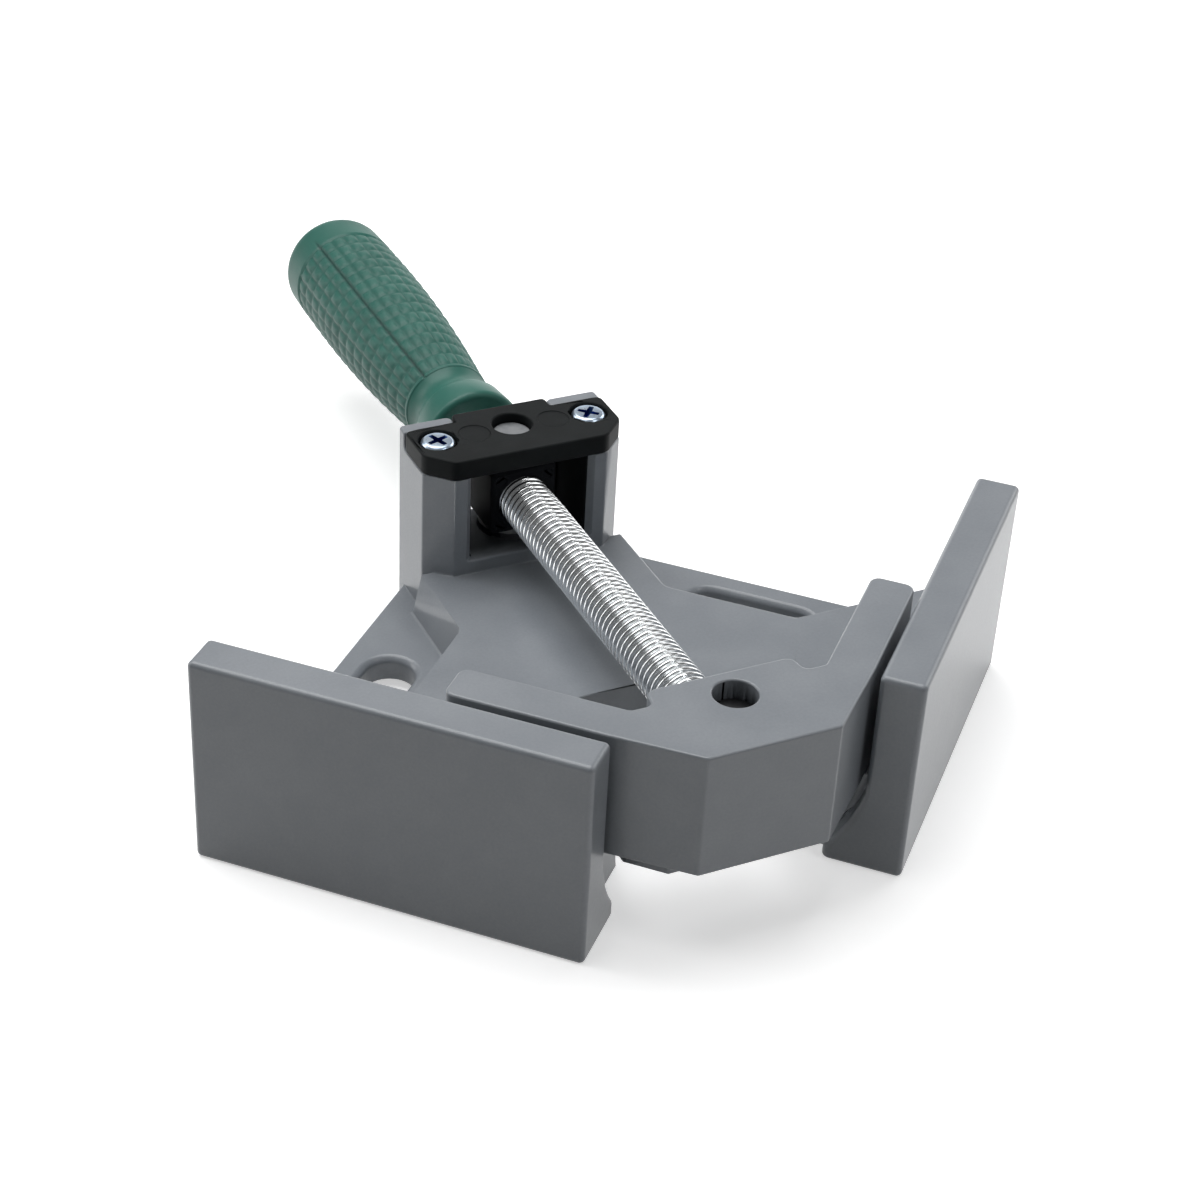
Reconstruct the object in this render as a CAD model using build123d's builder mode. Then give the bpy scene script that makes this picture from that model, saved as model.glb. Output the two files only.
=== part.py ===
from build123d import *
from math import cos, radians, sqrt
import os

# A quick-action corner clamp for right-angled frames, in millimetres.
# The origin is the foot of the tower's pivot axis on the bench, +Y runs to the handle, +Z up.
# The corner point, where the outer faces of the two fixed jaws would meet, lies on the -Y side.
# Both jaws stand at 45 degrees to the spindle, so a face at distance d inside the outer faces
# is the line y = |x| + d * sqrt(2) from the corner point.

# Frame
pivot_to_corner = 131.5
jaw_height = 40
jaw_thickness = 8
jaw_length = 70
jaw_setback = 42          # corner point to a fixed jaw's near end, along the jaw
jaw_edge = 1.0
foot_reach = 4.6          # past the jaw's inner face
foot_height = 3
flare_height = 16
flare_middle = 7.7        # its height at half its reach
floor_height = 15.6
floor_thickness = 4
floor_draft = 8           # degrees
floor_rear_step = 3.1     # wing's end at the jaw to the floor's rear edge
skirt = 4
rail_inside = 14
opening_front = 42        # from the corner point
opening_margin = 8.5      # opening's rear to the floor's rear edge
opening_corner = 2
tongue_half_width = 19
tongue_front = 33
tongue_corner = 5.5
tongue_length = 27
neck_half_width = 20.7    # of the raised floor beside the tower
notch_setback = 48        # corner point to the floor's front edge, along the jaw
wing_height = 6.5
wing_recess = 1.5         # underneath, around the slot
recess_side = 3           # past the slot's sides
recess_end = 6            # past the slot's ends
wing_reach = 110          # corner point to the wing's outer edge, square to it
wing_width = 21.2         # wing's outer edge to the raised floor beside the slot
slot_width = 9.5
slot_length = 25.5
slot_from_edge = 9.6      # wing's outer edge to the slot's centre line
slot_from_jaw = 45.7      # clamp's middle plane to the slot's middle, along the wing's edge
slot_chamfer = 0.9
lap = 3                   # by which the casting's blocks run into each other

# Tower
tower_half_width = 20
tower_front = 10          # pivot axis to the tower's front face
tower_rear = 7
tower_height = 40
tower_corner = 4.7
tower_edge = 0.8
window_half_width = 11.5
window_sill = 18.5
window_bevel = 1.4        # beside the window, in front
rear_corner = 1.2         # of the rear wall, beside its opening
sill_boss_radius = 6
sill_boss_height = 1.2
core_depth = 12
core_wall = 3.5
pivot_boss_radius = 7
pivot_hole_end = 4

# Cap and its screws
cap_thickness = 4
cap_proud = 0.4
cap_rim = 0.8             # of the casting beside the cap
cap_rear_strip = 3
cap_tab_half_width = 9.6
cap_gap = 0.15
cap_edge = 0.4
cap_corner = 2.5          # of the two blunt corners on each side
cap_mark_radius = 3
cap_mark_x = 8
cap_mark_depth = 0.2
screw_x = 15.3
screw_y = -1              # from the pivot axis
screw_head_radius = 3.25
screw_head_height = 1.6
screw_head_edge = 0.4
screw_shank_radius = 2
screw_length = 14
screw_gap = 0.45

# Swivel nut
nut_width = 13.2
nut_depth = 13.6
nut_height = 13.4
nut_edge = 0.8
nut_mark_radius = 1.1
nut_mark_depth = 0.25
nut_mark_inset = 1.9
trunnion_radius = 3.75
trunnion_recess = 1       # of its top below the cap's top
lower_trunnion = 12
nut_washer_radius = 6
axial_play = 0.1
running_gap = 0.05        # radial, on everything that turns

# Spindle
axis_height = 27.5
thread_radius = 5
thread_pitch = 1.5
thread_depth = 0.9
neck_radius = 3.5
groove_radius = 2.8
tip_length = 1.4
tip_edge = 0.45
shank_radius = 4.5
shank_flat = 3.7          # axis to each flat inside the handle
shank_length = 62
washer_radius = 5.4
washer_thickness = 1
ring_radius = 5
ring_thickness = 1.2
ring_mouth = 4.4

# Jaw pivot
pivot_y = 40              # corner point to the jaw's pivot axis
barrel_radius = 7
barrel_flat = 5.5         # axis to each flat
barrel_bottom = 18
barrel_top = 34
pivot_head_radius = 3.7
pivot_head_height = 2.4
pivot_head_edge = 0.3
pivot_shank_radius = 2
pivot_shank_length = 2.6

# Moving jaw
rest_gap = 1.35           # to each fixed jaw, as photographed
slide_gap = 0.6           # over the floor
arm_thickness = 7.8
arm_end = 70              # corner point to an arm's end, along the jaw
arm_start = 40            # corner point to the clamping face, along the jaw
arm_relief = 0.6          # nose faces sit back from the arm faces
arm_corner = 2.5
nose_front = 26
block_half_width = 13.6
block_rear = 46
block_corner = 2
valley_floor = 42         # between an arm and the pivot block
valley_corner = 1.5
jaw_top_edge = 0.8
moving_jaw_top = 39.9
jaw_core_wall = 2.3
jaw_core_roof = 4
jaw_core_ends = 5
jaw_core_corner = 1
spindle_slot_front = 30
spindle_slot_half_width = 5.8
head_hole_radius = 3.8

# Handle
handle_setback = 10.5     # tower's rear face to the handle, with the clamp closed
flange_radius = 10
flange_length = 7
flange_edge = 1.2
flange_taper = 0.6
waist_radius = 7.9
waist_from_flange = 4.5
shoulder_from_waist = 2.5
shoulder_radius = 8.3
core_radius = 7.2
spline_count = 4
spline_width = 2.4
spline_height = 0.8
grip_length = 69
grip_front_radius = 8.8
grip_radius = 11.6
grip_belly_from_end = 23
grip_end_radius = 11.1
grip_end_edge = 4.5
grip_end_wall = 6
grip_crown = 0.6
curve_steps = 3           # flat steps in each half of the grip's and the waist's curve

# Worked out from the sizes above
diagonal = sqrt(2)
step = cos(radians(45))
corner_y = -pivot_to_corner
corner = Plane(origin=(0, corner_y, 0))
cap_seat = tower_height + cap_proud - cap_thickness
cap_top = tower_height + cap_proud
moving_jaw_bottom = floor_height + slide_gap
nut_bottom = axis_height - nut_height / 2
nut_top = axis_height + nut_height / 2
front_y = -tower_front
rear_y = tower_rear
jaw_pivot_y = corner_y + pivot_y
shoulder_y = jaw_pivot_y + barrel_flat + washer_thickness + axial_play
ring_rear_y = jaw_pivot_y - barrel_flat - axial_play
ring_front_y = ring_rear_y - ring_thickness
tip_y = ring_front_y - tip_length
handle_front_y = rear_y + handle_setback
flange_end_y = handle_front_y + flange_length
waist_y = flange_end_y + waist_from_flange
grip_front_y = waist_y + shoulder_from_waist
grip_end_y = grip_front_y + grip_length
grip_belly_y = grip_end_y - grip_belly_from_end
core_end_y = grip_end_y - grip_end_wall
shank_end_y = handle_front_y + shank_length
spindle_plane = Plane(origin=(0, 0, axis_height), x_dir=(0, 1, 0), z_dir=(1, 0, 0))
os.makedirs("parts", exist_ok=True)


# A point measured along a jaw from the corner point and inwards from its outer face
def jaw_point(along, inward):
    return ((along - inward) * step, (along + inward) * step)


# A plane square to the spindle on its axis, facing +Y, with its own Y upwards
def cross_plane(y):
    return Plane(origin=(0, y, axis_height), x_dir=(-1, 0, 0), z_dir=(0, 1, 0))


# Outline points of a turned parabola, from the place where it runs level to before its end
def curved(level_y, end_y, level_radius, end_radius):
    shares = [k / curve_steps for k in range(curve_steps)]
    return [
        (level_y + (end_y - level_y) * share, level_radius + (end_radius - level_radius) * share**2)
        for share in shares
    ]


# The frame is one die casting: two fixed jaws, a hollow floor, two wings and the tower
jaw_end_plane = Plane(
    origin=(jaw_setback * step, corner_y + jaw_setback * step, 0),
    x_dir=(-step, step, 0),
    z_dir=(step, step, 0),
)
wing_sum = wing_reach * diagonal
floor_rear = (wing_reach + jaw_thickness) * step + floor_rear_step
opening_rear = floor_rear - opening_margin
neck_end = wing_sum - wing_width * diagonal - neck_half_width
neck_rear = pivot_to_corner - tower_front
neck_corner_x = neck_half_width + neck_end - floor_rear
floor_points = [
    (0, neck_rear + lap),
    (neck_half_width, neck_rear + lap),
    (neck_half_width, neck_end),
    (neck_corner_x, floor_rear),
    (wing_sum - floor_rear, floor_rear),
    jaw_point(wing_reach, jaw_thickness / 2),
    jaw_point(notch_setback, jaw_thickness / 2),
    jaw_point(notch_setback, notch_setback - rail_inside * diagonal),
    (0, (notch_setback - rail_inside * step) * diagonal),
]
wing_points = [
    (tower_half_width - lap, neck_end - lap),
    (tower_half_width - lap, pivot_to_corner),
    (tower_half_width, wing_sum - tower_half_width),
    jaw_point(wing_reach, jaw_thickness),
    jaw_point(wing_reach - lap, jaw_thickness),
    (neck_corner_x, floor_rear - lap),
]
with BuildPart() as frame_casting:
    with BuildSketch(jaw_end_plane) as jaw_section:
        with BuildLine():
            foot = jaw_thickness + foot_reach
            Polyline(
                (jaw_thickness, flare_height),
                (jaw_thickness, jaw_height),
                (0, jaw_height),
                (0, 0),
                (foot, 0),
                (foot, foot_height),
            )
            ThreePointArc(
                (foot, foot_height),
                (jaw_thickness + foot_reach / 2, flare_middle),
                (jaw_thickness, flare_height),
            )
        make_face()
        fillet(jaw_section.vertices().group_by(Axis.Z)[0], jaw_edge)
    extrude(amount=jaw_length)
    jaw_edges = frame_casting.edges().group_by(Axis.Z)[-1] + frame_casting.edges().filter_by(Axis.Z)
    fillet(jaw_edges, jaw_edge)

    with BuildSketch(corner.offset(floor_height)):
        with BuildLine():
            Polyline(*floor_points, close=True)
        make_face()
    extrude(amount=-floor_height, taper=-floor_draft)
    with BuildSketch(corner.offset(floor_height)):
        with BuildLine():
            Polyline(
                (0, tongue_front),
                (tongue_half_width - tongue_corner, tongue_front),
                (tongue_half_width, tongue_front + tongue_corner),
                (tongue_half_width, tongue_front + tongue_length),
                (0, tongue_front + tongue_length),
                close=True,
            )
        make_face()
    extrude(amount=-floor_thickness)

    with BuildSketch(corner):
        with BuildLine():
            Polyline(*wing_points, close=True)
        make_face()
    extrude(amount=wing_height)

    with BuildSketch() as tower_plan:
        with BuildLine():
            Polyline(
                (0, front_y),
                (tower_half_width - tower_corner, front_y),
                (tower_half_width, front_y + tower_corner),
                (tower_half_width, rear_y),
                (0, rear_y),
                close=True,
            )
        make_face()
        fillet(tower_plan.vertices().sort_by(Axis.X)[2:], tower_edge)
    extrude(amount=tower_height)

    # Hollows under one half of the floor, between its skirt and the rails beside the opening
    with BuildSketch(corner):
        with BuildLine():
            rail = rail_inside + skirt
            inner = jaw_thickness + foot_reach / 2
            Polyline(
                (rail, notch_setback * diagonal - rail + skirt * diagonal),
                jaw_point(notch_setback + skirt, inner),
                jaw_point(floor_rear * diagonal - skirt - inner, inner),
                (rail, floor_rear - skirt),
                close=True,
            )
        make_face()
    extrude(amount=floor_height - floor_thickness, mode=Mode.SUBTRACT)
    mirror(about=Plane.YZ)

    # Hollow behind the opening, and the opening itself
    with BuildSketch(corner):
        with Locations((0, (opening_rear + neck_rear) / 2)):
            Rectangle(2 * (neck_half_width - skirt), neck_rear - opening_rear - 2 * skirt)
    extrude(amount=floor_height - floor_thickness, mode=Mode.SUBTRACT)
    with BuildSketch(corner):
        with Locations((0, (opening_rear + opening_front) / 2)):
            RectangleRounded(2 * rail_inside, opening_rear - opening_front, opening_corner)
    extrude(amount=floor_height, mode=Mode.SUBTRACT)

    # Wings: a shallow recess underneath and a slot through each
    slot_u = wing_reach - slot_from_edge
    slot_centres = [
        (side * (slot_u - slot_from_jaw) * step, (slot_u + slot_from_jaw) * step) for side in (1, -1)
    ]
    for side, centre in zip((1, -1), slot_centres):
        with BuildSketch(corner):
            with Locations(Location(centre, -45 * side)):
                Rectangle(slot_length + 2 * recess_end, slot_width + 2 * recess_side)
        extrude(amount=wing_recess, mode=Mode.SUBTRACT)
        with BuildSketch(corner):
            with Locations(Location(centre, -45 * side)):
                SlotOverall(slot_length, slot_width)
        extrude(amount=wing_height, mode=Mode.SUBTRACT)
        chamfer(frame_casting.edges(Select.LAST).group_by(Axis.Z)[-1], slot_chamfer)

    # Tower: the coring underneath, the window for the nut and the seat for the cap
    with BuildSketch():
        with Locations((0, (front_y + rear_y) / 2)):
            Rectangle(2 * (tower_half_width - core_wall), tower_front + tower_rear - 2 * core_wall)
        Circle(pivot_boss_radius, mode=Mode.SUBTRACT)
    extrude(amount=core_depth, mode=Mode.SUBTRACT)
    seat_rear = rear_y - cap_rear_strip + cap_gap
    with BuildSketch(Plane.XY.offset(window_sill)):
        with BuildLine():
            Polyline(
                (-window_half_width - window_bevel, front_y),
                (window_half_width + window_bevel, front_y),
                (window_half_width, front_y + window_bevel),
                (window_half_width, seat_rear),
                (-window_half_width, seat_rear),
                (-window_half_width, front_y + window_bevel),
                close=True,
            )
        make_face()
        with Locations((0, seat_rear)):
            Rectangle(2 * (cap_tab_half_width + cap_gap), 2 * cap_rear_strip)
        Circle(sill_boss_radius, mode=Mode.SUBTRACT)
    extrude(amount=tower_height - window_sill, mode=Mode.SUBTRACT)
    with BuildSketch(Plane.XY.offset(window_sill + sill_boss_height)):
        Circle(sill_boss_radius)
    extrude(amount=tower_height, mode=Mode.SUBTRACT)
    with BuildSketch(Plane.XY.offset(cap_seat)):
        with BuildLine():
            side_x = tower_half_width - cap_rim + cap_gap
            cut = tower_corner + (cap_rim - cap_gap) * (diagonal - 1)
            Polyline(
                (-side_x, front_y + cut),
                (-side_x + cut, front_y),
                (side_x - cut, front_y),
                (side_x, front_y + cut),
                (side_x, seat_rear),
                (-side_x, seat_rear),
                close=True,
            )
        make_face()
    extrude(amount=cap_thickness, mode=Mode.SUBTRACT)
    reach = cap_tab_half_width + 2 * cap_gap
    rear_edges = frame_casting.edges().filter_by(Axis.Z).filter_by_position(Axis.X, -reach, reach)
    fillet(rear_edges.filter_by_position(Axis.Y, seat_rear - cap_gap, rear_y + cap_gap), rear_corner)
    with BuildSketch(Plane.XY.offset(pivot_hole_end)):
        Circle(trunnion_radius + running_gap)
    extrude(amount=tower_height, mode=Mode.SUBTRACT)
    with BuildSketch(Plane.XY.offset(cap_seat)):
        with Locations((-screw_x, screw_y), (screw_x, screw_y)):
            Circle(screw_shank_radius + running_gap)
    extrude(amount=-screw_length, mode=Mode.SUBTRACT)
frame_casting.part.label = "frame_casting"
export_step(frame_casting.part, "parts/frame_casting.step")

# The cap bridges the cheeks, nests in the casting on three sides and shows its front edge
with BuildPart() as tower_cap:
    with BuildSketch(Plane.XY.offset(cap_seat)) as cap_plan:
        with BuildLine():
            side_x = tower_half_width - cap_rim
            cut = tower_corner + cap_rim * (diagonal - 1)
            shoulder = rear_y - cap_rear_strip
            Polyline(
                (-side_x, front_y + cut),
                (-side_x + cut, front_y),
                (side_x - cut, front_y),
                (side_x, front_y + cut),
                (side_x, shoulder),
                (cap_tab_half_width, shoulder),
                (cap_tab_half_width, rear_y),
                (-cap_tab_half_width, rear_y),
                (-cap_tab_half_width, shoulder),
                (-side_x, shoulder),
                close=True,
            )
        make_face()
        front_corners = cap_plan.vertices().sort_by(Axis.Y)[:4]
        fillet(front_corners, cap_corner)
    extrude(amount=cap_thickness)
    chamfer(tower_cap.edges().group_by(Axis.Z)[-1], cap_edge)
    with BuildSketch(Plane.XY.offset(cap_seat)):
        Circle(trunnion_radius + running_gap)
        with Locations((-screw_x, screw_y), (screw_x, screw_y)):
            Circle(screw_shank_radius + running_gap)
    extrude(amount=cap_thickness, mode=Mode.SUBTRACT)
    with BuildSketch(Plane.XY.offset(cap_top)):
        with Locations((-screw_x, screw_y), (screw_x, screw_y)):
            Circle(screw_head_radius + screw_gap)
    extrude(amount=-screw_head_height, mode=Mode.SUBTRACT)
    with BuildSketch(Plane.XY.offset(cap_top)):
        with Locations((-cap_mark_x, screw_y), (cap_mark_x, screw_y)):
            Circle(cap_mark_radius)
    extrude(amount=-cap_mark_depth, mode=Mode.SUBTRACT)
tower_cap.part.label = "tower_cap"
export_step(tower_cap.part, "parts/tower_cap.step")

with BuildPart() as cap_screws:
    head_seat = cap_top - screw_head_height
    with BuildSketch(Plane.XY.offset(head_seat)):
        with Locations((-screw_x, screw_y), (screw_x, screw_y)):
            Circle(screw_head_radius)
    extrude(amount=screw_head_height)
    chamfer(cap_screws.edges().group_by(Axis.Z)[-1], screw_head_edge)
    with BuildSketch(Plane.XY.offset(head_seat)):
        with Locations((-screw_x, screw_y), (screw_x, screw_y)):
            Circle(screw_shank_radius)
    extrude(amount=-screw_length)
cap_screws.part.label = "cap_screws"
export_step(cap_screws.part, "parts/cap_screws.step")

# The nut is a threaded block that swivels on its two trunnions
with BuildPart() as swivel_nut:
    with BuildSketch(Plane.XY.offset(nut_bottom)):
        Rectangle(nut_width, nut_depth)
    extrude(amount=nut_height)
    chamfer(swivel_nut.edges(), nut_edge)
    with BuildSketch(cross_plane(-nut_depth / 2)):
        mark_x = nut_width / 2 - nut_mark_inset
        mark_z = nut_height / 2 - nut_mark_inset
        with Locations((mark_x, mark_z), (-mark_x, mark_z), (mark_x, -mark_z), (-mark_x, -mark_z)):
            Circle(nut_mark_radius)
    extrude(amount=nut_mark_depth, mode=Mode.SUBTRACT)
    with BuildSketch(Plane.XY.offset(nut_top)):
        Circle(trunnion_radius)
    extrude(amount=cap_top - trunnion_recess - nut_top)
    with BuildSketch(Plane.XY.offset(nut_bottom)):
        Circle(trunnion_radius)
    extrude(amount=-lower_trunnion)
    with BuildSketch(cross_plane(-nut_depth)):
        Circle(thread_radius + running_gap)
    extrude(amount=2 * nut_depth, mode=Mode.SUBTRACT)
swivel_nut.part.label = "swivel_nut"
export_step(swivel_nut.part, "parts/swivel_nut.step")

# A plain washer carries the nut on the boss in the tower's window
with BuildPart() as nut_washer:
    washer_seat = window_sill + sill_boss_height
    with BuildSketch(Plane.XY.offset(washer_seat)):
        Circle(nut_washer_radius)
        Circle(trunnion_radius + running_gap, mode=Mode.SUBTRACT)
    extrude(amount=nut_bottom - axial_play - washer_seat)
nut_washer.part.label = "nut_washer"
export_step(nut_washer.part, "parts/nut_washer.step")

# The spindle, turned from one bar: tip, ring groove, neck, thread and the flatted shank
# The thread's grooves are rings at its pitch, which is much lighter than a helix
groove_count = int((handle_front_y - shoulder_y) / thread_pitch)
thread_root = thread_radius - thread_depth
thread_points = []
for groove in range(groove_count):
    groove_y = shoulder_y + groove * thread_pitch
    thread_points.append((groove_y, thread_root))
    thread_points.append((groove_y + thread_pitch / 2, thread_radius))
with BuildPart() as spindle:
    with BuildSketch(spindle_plane):
        with BuildLine():
            Polyline(
                (tip_y, 0),
                (tip_y, neck_radius),
                (ring_front_y, neck_radius),
                (ring_front_y, groove_radius),
                (ring_rear_y, groove_radius),
                (ring_rear_y, neck_radius),
                (shoulder_y, neck_radius),
                *thread_points,
                (handle_front_y, thread_root),
                (handle_front_y, shank_radius),
                (shank_end_y, shank_radius),
                (shank_end_y, 0),
                close=True,
            )
        make_face()
    revolve(axis=Axis((0, 0, axis_height), (0, 1, 0)))
    chamfer(spindle.faces().sort_by(Axis.Y)[0].edges(), tip_edge)
    with BuildSketch(cross_plane(handle_front_y)):
        with Locations((shank_flat + shank_radius, 0), (-shank_flat - shank_radius, 0)):
            Rectangle(2 * shank_radius, 2 * shank_radius)
    extrude(amount=shank_length, mode=Mode.SUBTRACT)
spindle.part.label = "spindle"
export_step(spindle.part, "parts/spindle.step")

with BuildPart() as thrust_washer:
    with BuildSketch(cross_plane(shoulder_y)):
        Circle(washer_radius)
        Circle(neck_radius + running_gap, mode=Mode.SUBTRACT)
    extrude(amount=-washer_thickness)
thrust_washer.part.label = "thrust_washer"
export_step(thrust_washer.part, "parts/thrust_washer.step")

# An open ring snaps into the spindle's groove in front of the barrel
with BuildPart() as retaining_ring:
    with BuildSketch(cross_plane(ring_front_y)):
        Circle(ring_radius)
        Circle(groove_radius, mode=Mode.SUBTRACT)
        with Locations((0, -ring_radius)):
            Rectangle(ring_mouth, 2 * ring_radius, mode=Mode.SUBTRACT)
    extrude(amount=ring_thickness)
retaining_ring.part.label = "retaining_ring"
export_step(retaining_ring.part, "parts/retaining_ring.step")

# The barrel turns in the moving jaw and holds the spindle's neck between its flats
with BuildPart() as pivot_barrel:
    with BuildSketch(Plane((0, jaw_pivot_y, barrel_bottom))):
        Circle(barrel_radius)
        Rectangle(2 * barrel_radius, 2 * barrel_flat, mode=Mode.INTERSECT)
    extrude(amount=barrel_top - barrel_bottom)
    with BuildSketch(cross_plane(jaw_pivot_y - barrel_radius)):
        Circle(neck_radius + running_gap)
    extrude(amount=2 * barrel_radius, mode=Mode.SUBTRACT)
    with BuildSketch(Plane((0, jaw_pivot_y, barrel_top))):
        Circle(pivot_shank_radius + running_gap)
    extrude(amount=-pivot_shank_length, mode=Mode.SUBTRACT)
pivot_barrel.part.label = "pivot_barrel"
export_step(pivot_barrel.part, "parts/pivot_barrel.step")

with BuildPart() as pivot_screw:
    with BuildSketch(Plane((0, jaw_pivot_y, barrel_top))):
        Circle(pivot_head_radius)
    extrude(amount=pivot_head_height)
    chamfer(pivot_screw.edges().group_by(Axis.Z)[-1], pivot_head_edge)
    with BuildSketch(Plane((0, jaw_pivot_y, barrel_top))):
        Circle(pivot_shank_radius)
    extrude(amount=-pivot_shank_length)
pivot_screw.part.label = "pivot_screw"
export_step(pivot_screw.part, "parts/pivot_screw.step")

# The moving jaw is a casting with a pivot block between its two arms, cored from below
face = jaw_thickness + rest_gap
back = face + arm_thickness
relief = face + arm_relief
valley_x = valley_floor - back * diagonal
with BuildPart() as moving_jaw:
    with BuildSketch(corner.offset(moving_jaw_bottom)) as jaw_plan:
        with BuildLine():
            Polyline(
                (0, nose_front),
                (nose_front - relief * diagonal, nose_front),
                jaw_point(arm_start, relief),
                jaw_point(arm_start, face),
                jaw_point(arm_end, face),
                jaw_point(arm_end, back),
                (valley_x, valley_floor),
                (block_half_width, valley_floor),
                (block_half_width, block_rear),
                (0, block_rear),
                close=True,
            )
        make_face()
        fillet(jaw_plan.vertices().sort_by(Axis.X)[-2:], arm_corner)
        block_end = (block_half_width, block_rear)
        fillet(jaw_plan.vertices().sort_by_distance(block_end)[0], block_corner)
        for valley_x_end in (valley_x, block_half_width):
            fillet(jaw_plan.vertices().sort_by_distance((valley_x_end, valley_floor))[0], valley_corner)
        mirror(about=Plane.YZ)
    extrude(amount=moving_jaw_top - moving_jaw_bottom)
    chamfer(moving_jaw.faces().sort_by(Axis.Z)[-1].edges(), jaw_top_edge)

    # A slot, open below and behind, takes the spindle's neck with its washer and ring
    with BuildSketch(corner.offset(moving_jaw_bottom)):
        with Locations((0, (spindle_slot_front + block_rear) / 2)):
            Rectangle(2 * spindle_slot_half_width, block_rear - spindle_slot_front)
        with Locations((0, pivot_y)):
            Circle(barrel_radius + running_gap)
    extrude(amount=barrel_top + axial_play - moving_jaw_bottom, mode=Mode.SUBTRACT)
    with BuildSketch(Plane((0, jaw_pivot_y, moving_jaw_bottom))):
        Circle(head_hole_radius)
    extrude(amount=moving_jaw_top, mode=Mode.SUBTRACT)

    # A narrow core under each arm
    core_x, core_y = jaw_point((arm_start + arm_end) / 2, (face + back) / 2)
    with BuildSketch(corner.offset(moving_jaw_bottom)):
        for side in (1, -1):
            with Locations(Location((side * core_x, core_y), 45 * side)):
                RectangleRounded(
                    arm_end - arm_start - 2 * jaw_core_ends,
                    arm_thickness - 2 * jaw_core_wall,
                    jaw_core_corner,
                )
    extrude(amount=moving_jaw_top - moving_jaw_bottom - jaw_core_roof, mode=Mode.SUBTRACT)
moving_jaw.part.label = "moving_jaw"
export_step(moving_jaw.part, "parts/moving_jaw.step")

# The handle's hard core: a flange, a waist and a splined tube inside the grip
with BuildPart() as handle_core:
    with BuildSketch(spindle_plane):
        with BuildLine():
            Polyline(
                (grip_front_y, shoulder_radius),
                (grip_front_y, core_radius),
                (core_end_y, core_radius),
                (core_end_y, 0),
                (handle_front_y, 0),
                (handle_front_y, flange_radius),
                (flange_end_y, flange_radius - flange_taper),
                *curved(waist_y, flange_end_y, waist_radius, flange_radius - flange_taper)[::-1],
                *curved(waist_y, grip_front_y, waist_radius, shoulder_radius)[1:],
                close=True,
            )
        make_face()
    revolve(axis=Axis((0, 0, axis_height), (0, 1, 0)))
    chamfer(handle_core.faces().sort_by(Axis.Y)[0].edges(), flange_edge)
    with BuildSketch(cross_plane(grip_front_y)):
        with PolarLocations(core_radius, spline_count):
            Rectangle(2 * spline_height, spline_width)
    extrude(amount=core_end_y - grip_front_y)
    with BuildSketch(cross_plane(handle_front_y)):
        Circle(shank_radius)
        Rectangle(2 * shank_flat, 2 * shank_radius, mode=Mode.INTERSECT)
    extrude(amount=shank_length, mode=Mode.SUBTRACT)
handle_core.part.label = "handle_core"
export_step(handle_core.part, "parts/handle_core.step")

# The grip is a closed sleeve over the splined core, its outline one long curve and a crowned end
with BuildPart() as handle_grip:
    with BuildSketch(spindle_plane) as grip_profile:
        with BuildLine():
            Polyline(
                (grip_front_y, grip_front_radius),
                *curved(grip_belly_y, grip_front_y, grip_radius, grip_front_radius)[::-1],
                *curved(grip_belly_y, grip_end_y, grip_radius, grip_end_radius)[1:],
                (grip_end_y, grip_end_radius),
                (grip_end_y + grip_crown, 0),
                (core_end_y, 0),
                (core_end_y, core_radius),
                (grip_front_y, core_radius),
                close=True,
            )
        make_face()
        end_edge = grip_profile.vertices().sort_by_distance((grip_end_y, grip_end_radius))[0]
        fillet(end_edge, grip_end_edge)
    revolve(axis=Axis((0, 0, axis_height), (0, 1, 0)))
    with BuildSketch(cross_plane(grip_front_y)):
        with PolarLocations(core_radius, spline_count):
            Rectangle(2 * spline_height, spline_width)
    extrude(amount=core_end_y - grip_front_y, mode=Mode.SUBTRACT)
handle_grip.part.label = "handle_grip"
export_step(handle_grip.part, "parts/handle_grip.step")
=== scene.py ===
from math import cos, pi, radians, sin, tan, tau

import bmesh
import bpy
from bpy.props import FloatProperty, IntProperty, PointerProperty
from mathutils import Matrix, Quaternion, Vector
from mathutils.bvhtree import BVHTree
from mathutils.kdtree import KDTree


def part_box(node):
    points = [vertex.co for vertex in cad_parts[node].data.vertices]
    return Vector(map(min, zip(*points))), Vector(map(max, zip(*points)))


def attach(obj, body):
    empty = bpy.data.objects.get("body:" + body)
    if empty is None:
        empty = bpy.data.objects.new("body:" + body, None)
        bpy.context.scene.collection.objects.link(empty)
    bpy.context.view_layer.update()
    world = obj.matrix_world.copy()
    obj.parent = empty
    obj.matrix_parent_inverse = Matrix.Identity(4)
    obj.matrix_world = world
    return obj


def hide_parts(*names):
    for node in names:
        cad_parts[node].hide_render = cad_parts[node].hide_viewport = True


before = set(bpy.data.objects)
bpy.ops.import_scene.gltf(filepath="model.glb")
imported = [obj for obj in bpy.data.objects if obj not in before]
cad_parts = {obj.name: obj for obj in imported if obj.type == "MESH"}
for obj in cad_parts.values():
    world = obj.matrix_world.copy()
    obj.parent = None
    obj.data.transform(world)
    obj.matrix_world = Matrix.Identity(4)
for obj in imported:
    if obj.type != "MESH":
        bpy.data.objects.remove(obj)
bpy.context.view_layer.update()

bl_info = {
    "name": "Corner Clamp",
    "version": (1, 0, 0),
    "blender": (4, 5, 0),
    "location": "View3D > Sidebar > Corner Clamp",
    "description": "Dresses the corner clamp's frame with finished pieces, materials and a studio",
    "category": "Object",
}

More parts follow.
